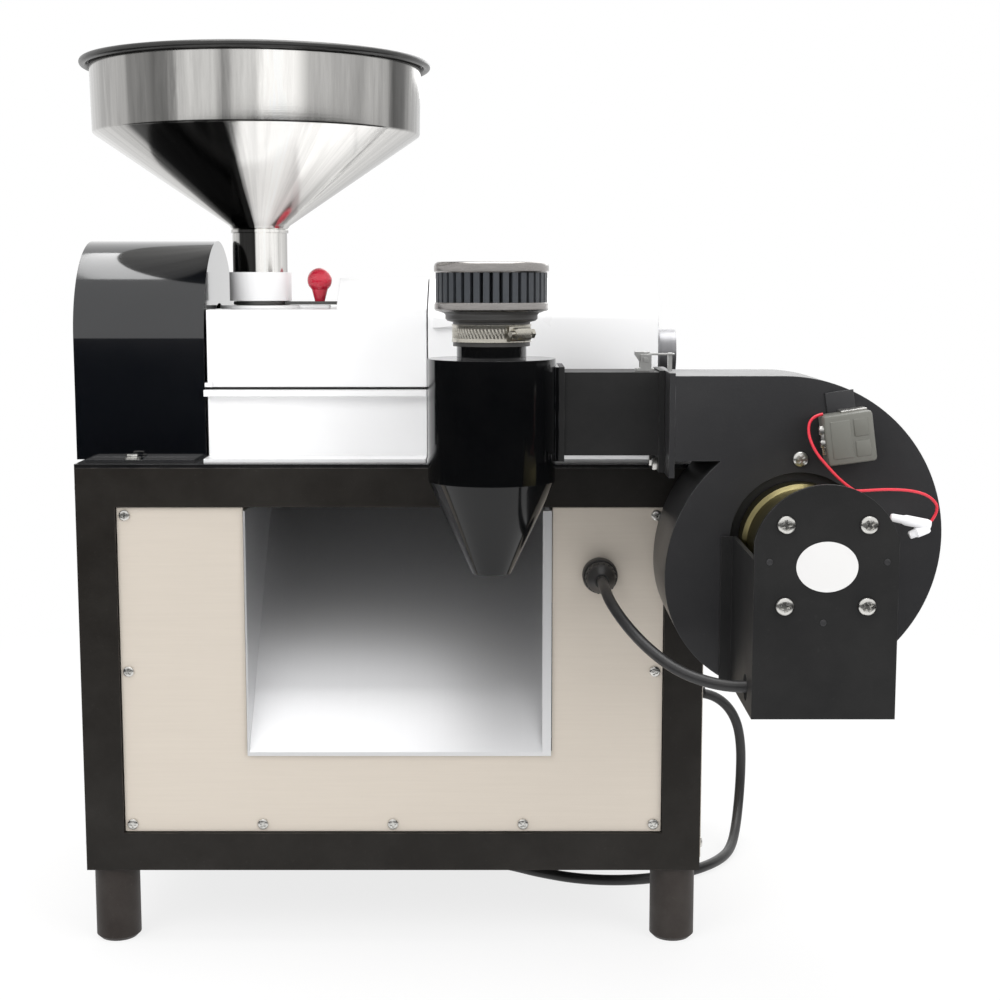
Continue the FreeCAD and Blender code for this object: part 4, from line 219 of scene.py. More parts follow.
def steel(name, colour, dark, stretch=(30, 30, 900), contrast=0.6, rough=(0.22, 0.42), depth=0.03,
          edge=0.0004, dust=0.06, metal=1.0):
    # bare or plated metal with brushing along one way
    finish, tree, shader, place = newFinish(name)
    corners = useGroup(tree, "edgeWear", Vector=place, Radius=edge)
    brushing = useGroup(tree, "grain", Vector=place, Stretch=stretch, Contrast=contrast)
    powder = useGroup(tree, "dust", Vector=place, Amount=dust)
    tone = mixColour(tree, brushing.outputs["Shade"], (*dark, 1), (*colour, 1))
    bright = mixColour(tree, mathNode(tree, "MULTIPLY", corners.outputs["Mask"], 0.35), tone,
                       (0.9, 0.9, 0.88, 1))
    tree.links.new(mixColour(tree, powder.outputs["Mask"], bright, (0.4, 0.38, 0.34, 1)),
                   shader.inputs["Base Color"])
    spread = rangeNode(tree, brushing.outputs["Shade"], toLow=rough[1], toHigh=rough[0])
    tree.links.new(spread.outputs[0], shader.inputs["Roughness"])
    shader.inputs["Metallic"].default_value = metal
    bump = addNode(tree, "ShaderNodeBump", {"Height": brushing.outputs["Height"],
                                            "Normal": corners.outputs["Normal"], "Strength": depth,
                                            "Distance": 0.0005})
    tree.links.new(bump.outputs[0], shader.inputs["Normal"])
    return finish


def paintedReflectionSteel(name, middle, bands):
    # polished spun steel whose colour holds painted reflections: the room's light and dark shapes are painted
    # into it as streaks round the axis
    finish, tree, shader, place = newFinish(name)
    centred = addNode(tree, "ShaderNodeMapping", {"Vector": place, "Location": (-middle.x, -middle.y, 0)})
    parts = addNode(tree, "ShaderNodeSeparateXYZ", {0: centred.outputs[0]})
    angle = mathNode(tree, "ARCTAN2", parts.outputs["Y"], parts.outputs["X"])
    fallen = mathNode(tree, "MULTIPLY", parts.outputs["Z"], bands["fall"])
    across = addNode(tree, "ShaderNodeCombineXYZ", {0: mathNode(tree, "COSINE", angle),
                                                    1: mathNode(tree, "SINE", angle), 2: fallen})
    wide = noiseNode(tree, across.outputs[0], bands["wide"], detail=2.0)
    fine = noiseNode(tree, across.outputs[0], bands["fine"], detail=5.0, roughness=0.7)
    blend = mathNode(tree, "ADD", mathNode(tree, "MULTIPLY", wide.outputs["Fac"], 0.6),
                     mathNode(tree, "MULTIPLY", fine.outputs["Fac"], 0.4))
    # the place round the axis is a share of a turn, wavered a little by the painted reflection streaks
    around = mathNode(tree, "ADD", mathNode(tree, "MULTIPLY", angle, 0.5 / math.pi), 0.5)
    sway = mathNode(tree, "MULTIPLY", mathNode(tree, "SUBTRACT", blend, 0.5), bands["waver"])
    wavered = mathNode(tree, "ADD", around, sway)
    # the wall and cone ramps are painted reflections: light and dark tones set by the place round the axis
    reflectionTones = []
    for stops in (bands["wall"], bands["cone"]):
        ramp = addNode(tree, "ShaderNodeValToRGB", {"Fac": wavered})
        while len(ramp.color_ramp.elements) < len(stops):
            ramp.color_ramp.elements.new(0.5)
        for element, (stopPlace, tone) in zip(ramp.color_ramp.elements, stops):
            element.position = stopPlace
            element.color = (tone, tone * 0.985, tone * 0.955, 1)
        reflectionTones.append(ramp.outputs[0])
    upper = rangeNode(tree, parts.outputs["Z"], bands["crease"] - 0.001, bands["crease"] + 0.001)
    # noise streaks that brighten and darken the painted reflections
    reflectionStreaks = rangeNode(tree, blend, 0.38, 0.6, toLow=0.62, toHigh=1.12)
    # painted reflection tones: the cylinder wall's above the crease, the cone's below it
    steel = mixColour(tree, upper.outputs[0], reflectionTones[1], reflectionTones[0])
    shaded = addNode(tree, "ShaderNodeVectorMath", {0: steel, 1: reflectionStreaks.outputs[0]}, operation="MULTIPLY")
    powder = useGroup(tree, "dust", Vector=place, Amount=0.05)
    tree.links.new(mixColour(tree, powder.outputs["Mask"], shaded.outputs[0], (0.5, 0.48, 0.45, 1)),
                   shader.inputs["Base Color"])
    shader.inputs["Metallic"].default_value = 1.0
    spread = rangeNode(tree, fine.outputs["Fac"], toLow=0.08, toHigh=0.22)
    tree.links.new(spread.outputs[0], shader.inputs["Roughness"])
    squeezed = addNode(tree, "ShaderNodeVectorMath", {0: place, 1: (6, 6, 1400)}, operation="MULTIPLY")
    rings = noiseNode(tree, squeezed.outputs[0], 1.0)
    bump = addNode(tree, "ShaderNodeBump", {"Height": rings.outputs["Fac"], "Strength": 0.02,
                                            "Distance": 0.0004})
    tree.links.new(bump.outputs[0], shader.inputs["Normal"])
    return finish


standPaint = coat("standPaint", (0.0095, 0.0078, 0.0062), (0.09, 0.075, 0.065), gloss=0.42, drift=0.08,
                  depth=0.05, edge=0.0012, wear=0.5, dust=0.05, peel=420.0, shine=0.25)
footRubber = coat("footRubber", (0.018, 0.013, 0.011), (0.06, 0.05, 0.045), gloss=0.5, depth=0.06,
                  edge=0.0008, dust=0.12, shine=0.3)
guardBlack = coat("guardBlack", (0.0012, 0.0018, 0.0032), (0.08, 0.08, 0.085), gloss=0.12, drift=0.03,
                  clear=1.0, depth=0.012, edge=0.0008, wear=0.45, dust=0.01, shine=0.5)
cycloneBlack = coat("cycloneBlack", (0.0012, 0.0014, 0.0017), (0.08, 0.08, 0.085), gloss=0.12, drift=0.02,
                    clear=0.3, depth=0.012, edge=0.0008, wear=0.45, dust=0.01, shine=0.25)
satinBlack = coat("satinBlack", (0.021, 0.021, 0.0225), (0.12, 0.12, 0.125), gloss=0.34, drift=0.05,
                  depth=0.05, edge=0.0007, wear=0.6, dust=0.04, peel=500.0, shine=0.4)
bracketBlack = coat("bracketBlack", (0.0115, 0.0115, 0.0118), (0.1, 0.1, 0.1), gloss=0.48, drift=0.05,
                    depth=0.06, edge=0.0006, wear=0.5, dust=0.035, peel=600.0, shine=0.25)
deckBlack = coat("deckBlack", (0.004, 0.004, 0.0045), (0.08, 0.08, 0.085), gloss=0.22, drift=0.05, clear=0.1,
                 edge=0.0009, wear=0.5, dust=0.05, shine=0.3)
headWhite = coat("headWhite", (0.9, 0.9, 0.905), (0.66, 0.66, 0.68), gloss=0.3, drift=0.05, clear=0.25,
                 depth=0.03, edge=0.0012, wear=0.35, dust=0.05, dusty=(0.7, 0.68, 0.64))
panelSteel = steel("panelSteel", (0.66, 0.6, 0.525), (0.53, 0.475, 0.41), stretch=(14, 14, 520),
                   contrast=0.45, rough=(0.42, 0.56), depth=0.02, metal=0.25, dust=0.08)
chuteSteel = steel("chuteSteel", (0.95, 0.95, 0.96), (0.88, 0.88, 0.89), stretch=(420, 12, 12), contrast=0.3,
                   rough=(0.36, 0.42), depth=0.006, metal=0.93, dust=0.02)
zincPlate = steel("zincPlate", (0.72, 0.72, 0.7), (0.5, 0.5, 0.49), stretch=(240, 240, 240),
                  rough=(0.24, 0.42))
screwSteel = steel("screwSteel", (0.82, 0.81, 0.78), (0.6, 0.59, 0.56), stretch=(300, 300, 300),
                   rough=(0.2, 0.36))
yellowZinc = steel("yellowZinc", (0.3, 0.26, 0.12), (0.14, 0.12, 0.06), stretch=(60, 260, 60), contrast=1.1,
                   rough=(0.26, 0.44), dust=0.1)
machinedIron = steel("machinedIron", (0.36, 0.36, 0.37), (0.22, 0.22, 0.23), stretch=(420, 90, 90),
                     rough=(0.32, 0.52))
bandSteel = steel("bandSteel", (0.66, 0.63, 0.56), (0.4, 0.38, 0.33), stretch=(90, 90, 1300), contrast=0.8,
                  rough=(0.2, 0.36))
filterSteel = steel("filterSteel", (0.42, 0.4, 0.385), (0.2, 0.19, 0.185), stretch=(80, 80, 1500),
                    contrast=0.9, rough=(0.16, 0.34))
filterRubber = coat("filterRubber", (0.035, 0.034, 0.033), (0.12, 0.12, 0.12), gloss=0.4, depth=0.08,
                    peel=900.0, dust=0.12)
gauze = coat("gauze", (0.045, 0.05, 0.058), (0.16, 0.17, 0.18), gloss=0.5, drift=0.1, peel=1500.0, depth=0.4,
             edge=0.0005, wear=0.8, dust=0.1, metal=0.3)
motorEnamel = coat("motorEnamel", (0.1, 0.145, 0.19), (0.3, 0.32, 0.33), gloss=0.38, depth=0.08, edge=0.001,
                   dust=0.12)
blackNylon = coat("blackNylon", (0.012, 0.012, 0.013), (0.05, 0.05, 0.05), gloss=0.4, depth=0.04, peel=700.0,
                  dust=0.06)
beltRubber = coat("beltRubber", (0.016, 0.016, 0.016), (0.07, 0.07, 0.07), gloss=0.6, depth=0.15, peel=900.0,
                  dust=0.12)
sealFoam = coat("sealFoam", (0.014, 0.014, 0.014), (0.03, 0.03, 0.03), gloss=0.75, depth=0.3, peel=1200.0,
                dust=0.03)
redGloss = coat("redGloss", (0.56, 0.012, 0.04), (0.75, 0.16, 0.18), gloss=0.2, clear=0.7, depth=0.01,
                wear=0.25, dust=0.03)
capGrey = coat("capGrey", (0.13, 0.13, 0.115), (0.22, 0.22, 0.2), gloss=0.42, depth=0.06, peel=800.0,
               dust=0.1)
# the gate plate's dark tone is painted shade: the plate lies in shade under the knob
gatePaintedShade = steel("gatePaintedShade", (0.16, 0.16, 0.155), (0.07, 0.07, 0.07), stretch=(200, 30, 200),
                  rough=(0.3, 0.45))
crimpWhite = coat("crimpWhite", (0.78, 0.78, 0.8), (0.85, 0.85, 0.85), gloss=0.3, depth=0.02, wear=0.2,
                  dust=0.06, dusty=(0.5, 0.48, 0.46))
labelWhite = coat("labelWhite", (0.61, 0.605, 0.6), (0.5, 0.5, 0.5), gloss=0.34, depth=0.01, wear=0.2,
                  dust=0.1, edge=0.0002)
leadRed = coat("leadRed", (0.6, 0.025, 0.045), (0.7, 0.1, 0.1), gloss=0.35, depth=0.02, wear=0.1, dust=0.04,
               edge=0.0002)
cordBlack = coat("cordBlack", (0.011, 0.011, 0.012), (0.04, 0.04, 0.04), gloss=0.42, drift=0.06, depth=0.06,
                 peel=900.0, wear=0.1, dust=0.08, edge=0.0003)
# the ramp stops are painted reflections of the room, light and dark tones round the funnel's axis
funnelPaintedReflection = paintedReflectionSteel("funnelPaintedReflection", spot(-111, 110, 0),
                           {"fall": 0.5, "wide": 2.6, "fine": 13.0, "waver": 0.05, "crease": 0.634,
                            "wall": [(0.0, 0.3), (0.03, 0.48), (0.08, 0.52), (0.1, 0.36), (0.115, 0.5),
                                     (0.14, 0.38), (0.15, 0.16), (0.165, 0.24), (0.175, 0.13), (0.19, 0.2),
                                     (0.2, 0.6), (0.235, 0.62), (0.243, 0.22), (0.252, 0.55), (0.275, 0.6),
                                     (0.283, 0.95), (0.31, 0.9), (0.32, 0.5), (0.36, 0.42), (0.405, 0.46),
                                     (0.413, 0.1), (0.44, 0.14), (0.455, 0.3), (0.48, 0.45), (0.5, 0.2),
                                     (0.58, 0.5), (0.68, 0.2), (0.78, 0.62), (0.86, 0.16), (0.93, 0.5),
                                     (1.0, 0.3)],
                            "cone": [(0.0, 0.5), (0.05, 0.7), (0.13, 0.5), (0.148, 0.03), (0.22, 0.03),
                                     (0.243, 0.02), (0.248, 0.86), (0.37, 0.98), (0.385, 0.7), (0.395, 0.72),
                                     (0.41, 0.9), (0.43, 0.7), (0.455, 0.5), (0.48, 0.42), (0.5, 0.3),
                                     (0.6, 0.6), (0.68, 0.12), (0.76, 0.7), (0.86, 0.3), (1.0, 0.5)]})
# the rolled rim's near-black tone is a painted dark reflection on the same steel as the funnel
rimPaintedDarkReflection = steel("rimPaintedDarkReflection", (0.1, 0.1, 0.098), (0.03, 0.03, 0.03), stretch=(60, 60, 900), contrast=0.9,
                 rough=(0.24, 0.4), dust=0.03)
print("finishes made:", len(bpy.data.materials))


# cords: the points are those of the model's own routes, in the stand's millimetres
def cordCurve(name, route, radius, finish):
    line = bpy.data.curves.new(name, "CURVE")
    line.dimensions = "3D"
    line.bevel_depth = radius / 1000
    line.bevel_resolution = 6
    line.resolution_u = 10
    line.use_fill_caps = True
    run = line.splines.new("NURBS")
    run.points.add(len(route) - 1)
    for point, place in zip(run.points, route):
        point.co = (*spot(*place), 1)
    run.order_u = 3
    run.use_endpoint_u = True
    cord = bpy.data.objects.new(name, line)
    cord.data.materials.append(finish)
    bpy.context.scene.collection.objects.link(cord)
    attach(cord, "root")
    return cord


coil = {"x": 44, "y": 236.6, "outer": 58.6, "pitch": 9.6, "turns": 2, "low": 4.5, "tail": 45, "perTurn": 16}


def coilRoute():
    # two turns in, a half turn that climbs one layer, and two turns out again
    points = []
    total = 2 * coil["turns"] + 0.5
    for step in range(1, round(total * coil["perTurn"])):
        turn = step / coil["perTurn"]
        if turn <= coil["turns"]:
            radius, level = coil["outer"] - coil["pitch"] * turn, coil["low"]
        elif turn <= coil["turns"] + 0.5:
            part = turn - coil["turns"]
            radius = coil["outer"] - coil["pitch"] * (coil["turns"] + min(part, 0.5 - part))
            level = coil["low"] + coil["pitch"] * (1 - math.cos(2 * math.pi * part)) / 2
        else:
            radius, level = coil["outer"] - coil["pitch"] * (total - turn), coil["low"] + coil["pitch"]
        angle = -2 * math.pi * turn - math.pi / 2
        points.append((coil["x"] + radius * math.cos(angle), coil["y"] + radius * math.sin(angle), level))
    return points


lead = {"route": [(253.5, 255, 140), (273.5, 255, 140), (292, 256, 130.5), (304, 258.5, 112.5),
                  (309, 262, 88), (309.5, 264, 60), (307, 256, 36), (302, 237, 17), (295, 213, 6.5),
                  (284, 187, 4.6), (262, 160, 4.6), (230, 139, 4.6), (192, 128, 4.6), (152, 132, 4.6),
                  (118, 149, 4.6), (94, 167, 4.5), (74, 178, 4.5), (53, 178, 4.5)],
        "radius": 4.5, "length": 1.89}
plugFace = (coil["x"] + coil["tail"], coil["y"] + coil["outer"], coil["low"] + coil["pitch"])
leadRoute = lead["route"] + coilRoute() + [(coil["x"] + 10, plugFace[1], plugFace[2]), plugFace]
mainsLead = cordCurve("mainsLead", leadRoute, lead["radius"], cordBlack)
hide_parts("mains_cord", "cord_coil")

supply = {"route": [(160.2, -27, 294.5), (160.5, -52, 294.3), (163, -84, 289), (172, -115, 279),
                    (186, -140, 267), (205, -160, 256), (229, -172, 250), (252, -176, 249.5),
                    (270, -177, 253.5), (284, -177, 264.5), (292, -176.5, 279), (294, -175.3, 291.2)],
          "radius": 4, "length": 0.266}
fanSupply = cordCurve("fanSupply", supply["route"], supply["radius"], cordBlack)
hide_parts("fan_cable")

leads = {"highLead": [(306.5, -112, 427), (298.5, -113, 425.5), (295.5, -116, 415), (300, -121, 402),
                      (309, -126, 391), (318, -130, 381.5), (329, -133, 374), (341, -134, 365),
                      (350.7, -133, 354.8)],
         "lowLead": [(292, -150, 376.5), (298, -150, 380), (309, -149, 379.5), (323, -147, 377.5),
                     (345, -142, 378.5), (365, -138, 377), (378, -135, 372), (384, -133, 363),
                     (378.5, -133, 355.4)]}
for name, route in leads.items():
    wire = cordCurve(name, route, 1, leadRed)
    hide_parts("red_leads")
print("cords laid")


# pieces: each starts from a small shape that bmesh's own operators spin, cut and bevel
def pour(part, whole):
    # adds one finished shape to the mesh of its piece
    mesh = bpy.data.meshes.new("part")
    part.to_mesh(mesh)
    part.free()
    whole.from_mesh(mesh)
    bpy.data.meshes.remove(mesh)


def aim(axis):
    # turns a shape that was made along Z so that it points along another axis
    return {"z": Matrix.Identity(4), "x": Matrix.Rotation(math.pi / 2, 4, "Y"),
            "-x": Matrix.Rotation(-math.pi / 2, 4, "Y"), "y": Matrix.Rotation(-math.pi / 2, 4, "X"),
            "-y": Matrix.Rotation(math.pi / 2, 4, "X")}[axis]


def addSpin(whole, profile, centre, axis="z", steps=64):
    # profile: (radius, height) in millimetres, from the bottom up on the outside
    part = bmesh.new()
    line = [part.verts.new((radius / 1000, 0, height / 1000)) for radius, height in profile]
    rim = [part.edges.new(pair) for pair in zip(line, line[1:])]
    bmesh.ops.spin(part, geom=line + rim, cent=(0, 0, 0), axis=(0, 0, 1), angle=2 * math.pi, steps=steps,
                   use_merge=True)
    bmesh.ops.remove_doubles(part, verts=part.verts, dist=1e-6)
    bmesh.ops.recalc_face_normals(part, faces=part.faces)
    bmesh.ops.transform(part, matrix=Matrix.Translation(spot(*centre)) @ aim(axis), verts=part.verts)
    pour(part, whole)


def addBlock(whole, low, high, edge=0.6, turn=None):
    # a block between two corners with soft edges, perhaps turned about its own middle
    part = bmesh.new()
    bmesh.ops.create_cube(part, size=1)
    size = [(b - a) / 1000 for a, b in zip(low, high)]
    bmesh.ops.scale(part, vec=size, verts=part.verts)
    if edge:
        bmesh.ops.bevel(part, geom=part.edges, offset=edge / 1000, segments=2, profile=0.5, affect="EDGES",
                        material=-1)
    middle = Matrix.Translation(spot(*[(a + b) / 2 for a, b in zip(low, high)]))
    bmesh.ops.transform(part, matrix=middle @ (turn or Matrix.Identity(4)), verts=part.verts)
    pour(part, whole)


def addHex(whole, centre, axis, flats, height, chamfer=0.5):
    # a hexagon head with its corners turned off
    part = bmesh.new()
    bmesh.ops.create_cone(part, cap_ends=True, segments=6, radius1=flats / 1732, radius2=flats / 1732,
                          depth=height / 1000)
    bmesh.ops.translate(part, vec=(0, 0, height / 2000), verts=part.verts)
    top = [edge for edge in part.edges if min(v.co.z for v in edge.verts) > height / 1500]
    bmesh.ops.bevel(part, geom=top, offset=chamfer / 1000, segments=2, profile=0.5, affect="EDGES",
                    material=-1)
    bmesh.ops.transform(part, matrix=Matrix.Translation(spot(*centre)) @ aim(axis), verts=part.verts)
    pour(part, whole)


def addPanHead(whole, centre, axis, radius, height, turn=0.0):
    # a domed head with a cross pressed into it: the cross is extruded inwards from the dome's middle faces
    part = bmesh.new()
    bmesh.ops.create_grid(part, x_segments=10, y_segments=10, size=radius / 1000)
    reach = radius / 1000
    for vert in part.verts:
        # the square grid is drawn out to a disc
        x, y = vert.co.x / reach, vert.co.y / reach
        vert.co.x = reach * x * math.sqrt(1 - y * y / 2)
        vert.co.y = reach * y * math.sqrt(1 - x * x / 2)
    for vert in part.verts:
        share = min(1.0, vert.co.xy.length / reach)
        vert.co.z = height / 1000 * (0.55 + 0.45 * math.sqrt(max(0.0, 1 - share ** 2.6)))
    slot = [face for face in part.faces if face.calc_center_median().xy.length < reach * 0.62
            and min(abs(face.calc_center_median().x), abs(face.calc_center_median().y)) < reach * 0.13]
    sunk = bmesh.ops.extrude_face_region(part, geom=slot)
    low = [item for item in sunk["geom"] if isinstance(item, bmesh.types.BMVert)]
    bmesh.ops.delete(part, geom=slot, context="FACES")
    bmesh.ops.translate(part, vec=(0, 0, -height / 2200), verts=low)
    rim = [edge for edge in part.edges if edge.is_boundary
           and all(v.co.xy.length > reach * 0.9 for v in edge.verts)]
    skirt = bmesh.ops.extrude_edge_only(part, edges=rim)
    foot = [item for item in skirt["geom"] if isinstance(item, bmesh.types.BMVert)]
    for vert in foot:
        vert.co.z = 0
    hem = [item for item in skirt["geom"] if isinstance(item, bmesh.types.BMEdge) and item.is_boundary]
    bmesh.ops.contextual_create(part, geom=hem)
    bmesh.ops.recalc_face_normals(part, faces=part.faces)
    placed = Matrix.Translation(spot(*centre)) @ aim(axis)
    bmesh.ops.transform(part, matrix=placed @ Matrix.Rotation(turn, 4, "Z"), verts=part.verts)
    pour(part, whole)


def makePiece(name, whole, finish, body="root", replaced=(), sharp=32):
    mesh = bpy.data.meshes.new(name)
    whole.to_mesh(mesh)
    whole.free()
    mesh.shade_smooth()
    mesh.set_sharp_from_angle(angle=math.radians(sharp))
    mesh.materials.append(finish)
    piece = bpy.data.objects.new(name, mesh)
    bpy.context.scene.collection.objects.link(piece)
    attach(piece, body)
    if replaced:
        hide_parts(*replaced)
    return piece


# the hopper is spun from one sheet: a rolled rim, a short cylinder, a sharp crease, a cone and a neck
funnel = {"x": -111, "y": 110, "rim": 691, "rimRadius": 131, "bead": 2.9, "reach": 138.8, "crease": 634,
          "creaseRadius": 130, "neck": 561, "neckRadius": 22, "foot": 507, "wall": 1.2}


def makeFunnel():
    whole = bmesh.new()
    wall = funnel["wall"]
    outside = [(funnel["neckRadius"], funnel["foot"]), (funnel["neckRadius"], funnel["neck"] - 5),
               (funnel["neckRadius"] + 1.1, funnel["neck"] - 4.6),
               (funnel["neckRadius"] + 1.1, funnel["neck"] - 2.4),
               (funnel["neckRadius"] + 0.4, funnel["neck"] - 1.6),
               (funnel["neckRadius"] + 2.4, funnel["neck"] + 1.2),
               (funnel["creaseRadius"] - 2, funnel["crease"] - 1.5),
               (funnel["creaseRadius"] - 0.4, funnel["crease"] - 0.2),
               (funnel["creaseRadius"], funnel["crease"] + 1.2), (funnel["rimRadius"], funnel["rim"] - 6)]
    inside = [(funnel["rimRadius"] - wall, funnel["rim"] - 6),
              (funnel["creaseRadius"] - wall, funnel["crease"] + 1.6),
              (funnel["creaseRadius"] - wall - 2, funnel["crease"] - 0.5),
              (funnel["neckRadius"] + 2.5, funnel["neck"] + 2.6),
              (funnel["neckRadius"] - wall, funnel["neck"] - 2),
              (funnel["neckRadius"] - wall, funnel["foot"])]
    loop = outside + inside
    addSpin(whole, loop + loop[:1], (funnel["x"], funnel["y"], 0), steps=128)
    return makePiece("hopperFunnel", whole, funnelPaintedReflection, "hopper_body", ["hopper"])


def makeRim():
    # the sheet runs outwards over the top and is rolled back under itself
    whole = bmesh.new()
    roll, wall = funnel["bead"], funnel["wall"]
    middle = (funnel["reach"] - roll, funnel["rim"] - roll)
    bead = [(middle[0] + roll * math.cos(a), middle[1] + roll * math.sin(a))
            for a in [math.radians(d) for d in range(-150, 91, 20)]]
    loop = [(funnel["rimRadius"] - wall, funnel["rim"] - 6.2), (funnel["rimRadius"], funnel["rim"] - 6.2),
            (funnel["rimRadius"], funnel["rim"] - 3.4), (funnel["rimRadius"] + 0.8, funnel["rim"] - 2.2)]
    loop += bead + [(funnel["rimRadius"] + 1.4, funnel["rim"]),
                    (funnel["rimRadius"] - 0.4, funnel["rim"] - 1),
                    (funnel["rimRadius"] - wall, funnel["rim"] - 3)]
    addSpin(whole, loop + loop[:1], (funnel["x"], funnel["y"], 0), steps=128)
    return makePiece("hopperRim", whole, rimPaintedDarkReflection, "hopper_body", ["hopper"])


makeFunnel()
makeRim()

# the front panel's small pan-head screws, and those of the other sheets, placed by the stand's own sizes
sheetScrews = {"radius": 4.1, "height": 2.5, "halfWidth": 240, "depth": 330, "foot": 60, "top": 377,
               "tube": 30, "gap": 0.6, "edge": 6, "recess": 3, "lap": 17, "thick": 1.5}


def makeSheetScrews():
    whole = bmesh.new()
    s = sheetScrews
    right = s["halfWidth"] - s["tube"] - s["gap"] - s["edge"]
    levels = (s["foot"] + s["tube"] + s["gap"] + s["edge"], (s["foot"] + s["top"]) / 2,
              s["top"] - s["tube"] - s["gap"] - s["edge"])
    spots = [(side * right, level) for side in (-1, 1) for level in levels]
    spots += [(share * right / 2, levels[0]) for share in (-1, 0, 1)]
    for count, (x, z) in enumerate(spots):
        addPanHead(whole, (x, s["recess"], z), "-y", s["radius"], s["height"], count * 0.7)
    corners = (s["foot"] + s["lap"], s["top"] - s["lap"])
    for count, back in enumerate((s["lap"], s["depth"] - s["lap"])):
        for level in corners:
            addPanHead(whole, (-s["halfWidth"] - s["thick"], back, level), "-x", s["radius"], s["height"],
                       level + count)
            addPanHead(whole, (s["halfWidth"] + s["thick"], back, level), "x", s["radius"], s["height"],
                       level - count)
    for x in (s["lap"] - s["halfWidth"], s["halfWidth"] - s["lap"]):
        for level in corners:
            addPanHead(whole, (x, s["depth"] + s["thick"], level), "y", s["radius"], s["height"], level + x)
    return makePiece("sheetScrews", whole, screwSteel, "root", ["panel_screws"])


makeSheetScrews()

# bolts, screws and hinge pins that share one node in the model
fixings = {"guardX": -200, "guardY": (23, 197), "guardLevel": 382, "washer": 1.1,
           "motorFootX": (-36, 66), "motorFootY": (133.3, 246.7), "motorPlateTop": 104,
           "flangeX": (198, 206), "flangeY": (-51, -23), "flangeZ": 386, "flats": 8.4, "headHeight": 3.5,
           "hingeX": (-112, -2), "hingeY": 198, "hingeZ": 438.5, "pinRadius": 2, "pinLength": 42.8,
           "fanX": 294, "fanZ": 336.5, "bracketFront": -204, "bracketSpread": 26.6,
           "scrollFront": -100, "motorSpread": 58}


def makeFixings():
    whole = bmesh.new()
    f = fixings
    washer = [(0, 0), (6.2, 0), (6.2, 0.9), (5.6, f["washer"]), (0, f["washer"])]
    for y in f["guardY"]:
        addSpin(whole, washer, (f["guardX"], y, f["guardLevel"]), steps=32)
        addHex(whole, (f["guardX"], y, f["guardLevel"] + f["washer"]), "z", 8, 2.4)
    for x in f["motorFootX"]:
        for y in f["motorFootY"]:
            addHex(whole, (x, y, f["motorPlateTop"]), "z", f["flats"], f["headHeight"])
    for y in f["flangeY"]:
        for x, axis in zip(f["flangeX"], ("-x", "x")):
            addHex(whole, (x, y, f["flangeZ"]), axis, f["flats"], f["headHeight"])
    pin = [(0, 0), (f["pinRadius"], 0), (f["pinRadius"], f["pinLength"]), (0, f["pinLength"])]
    for x in f["hingeX"]:
        addSpin(whole, pin, (x - f["pinLength"] / 2, f["hingeY"], f["hingeZ"]), "x", steps=24)
    # the fan motor's bracket has a screw at each corner of a square
    for sideX in (-1, 1):
        for sideZ in (-1, 1):
            place = (f["fanX"] + sideX * f["bracketSpread"], f["bracketFront"],
                     f["fanZ"] + sideZ * f["bracketSpread"])
            addPanHead(whole, place, "-y", 5.7, 3.4, 0.4 + sideX + sideZ * 0.8)
    # two more hold the motor through the scroll's front plate
    for side in (-1, 1):
        place = (f["fanX"], f["scrollFront"], f["fanZ"] + side * f["motorSpread"])
        addPanHead(whole, place, "-y", 5.2, 3, 0.9 * side)
    return makePiece("fixings", whole, screwSteel, "root", ["fasteners"])


makeFixings()
# the filter on the cyclone: turned base and cap with rolled edges
filterTrim = {"x": 77.6, "y": -61}


def makeFilterTrim():
    # steel ring and cap with rolled edges, over a rubber neck that the clamp squeezes
    centre = (filterTrim["x"], filterTrim["y"], 0)
    ring = [(26, 496.6), (37.6, 496.6), (39.8, 497), (41, 498.2), (41, 501.6), (40.2, 503), (26, 503),
            (26, 496.6)]
    cap = [(0, 524), (40, 524), (41, 525), (41, 528.2), (40.4, 530.2), (38.6, 531.5), (36.6, 531.5),
           (35.4, 530.7), (27.6, 530.7), (26.2, 530.2), (24.4, 528.6), (0, 528.6)]
    whole = bmesh.new()
    addSpin(whole, ring, centre, steps=96)
    addSpin(whole, cap, centre, steps=96)
    makePiece("filterTrim", whole, filterSteel, "root", ["filter_frame"], sharp=40)
    neck = [(25.1, 472), (27.6, 472), (27.6, 489), (31.6, 490), (33, 491.4), (33, 494.2), (34, 495.4),
            (37.4, 496.5), (26, 496.5), (26, 484.3), (25.1, 484.3), (25.1, 472)]
    whole = bmesh.new()
    addSpin(whole, neck, centre, steps=96)
    makePiece("filterNeck", whole, filterRubber, "root", ["filter_frame"], sharp=40)


makeFilterTrim()

# the worm-drive clamp: a band with pressed slots, its screw housing and hexagon screw
clampBand = {"x": 77.6, "y": -61, "radius": 27.7, "low": 475, "high": 487.5, "thick": 0.8, "slots": 26,
             "turn": 44}


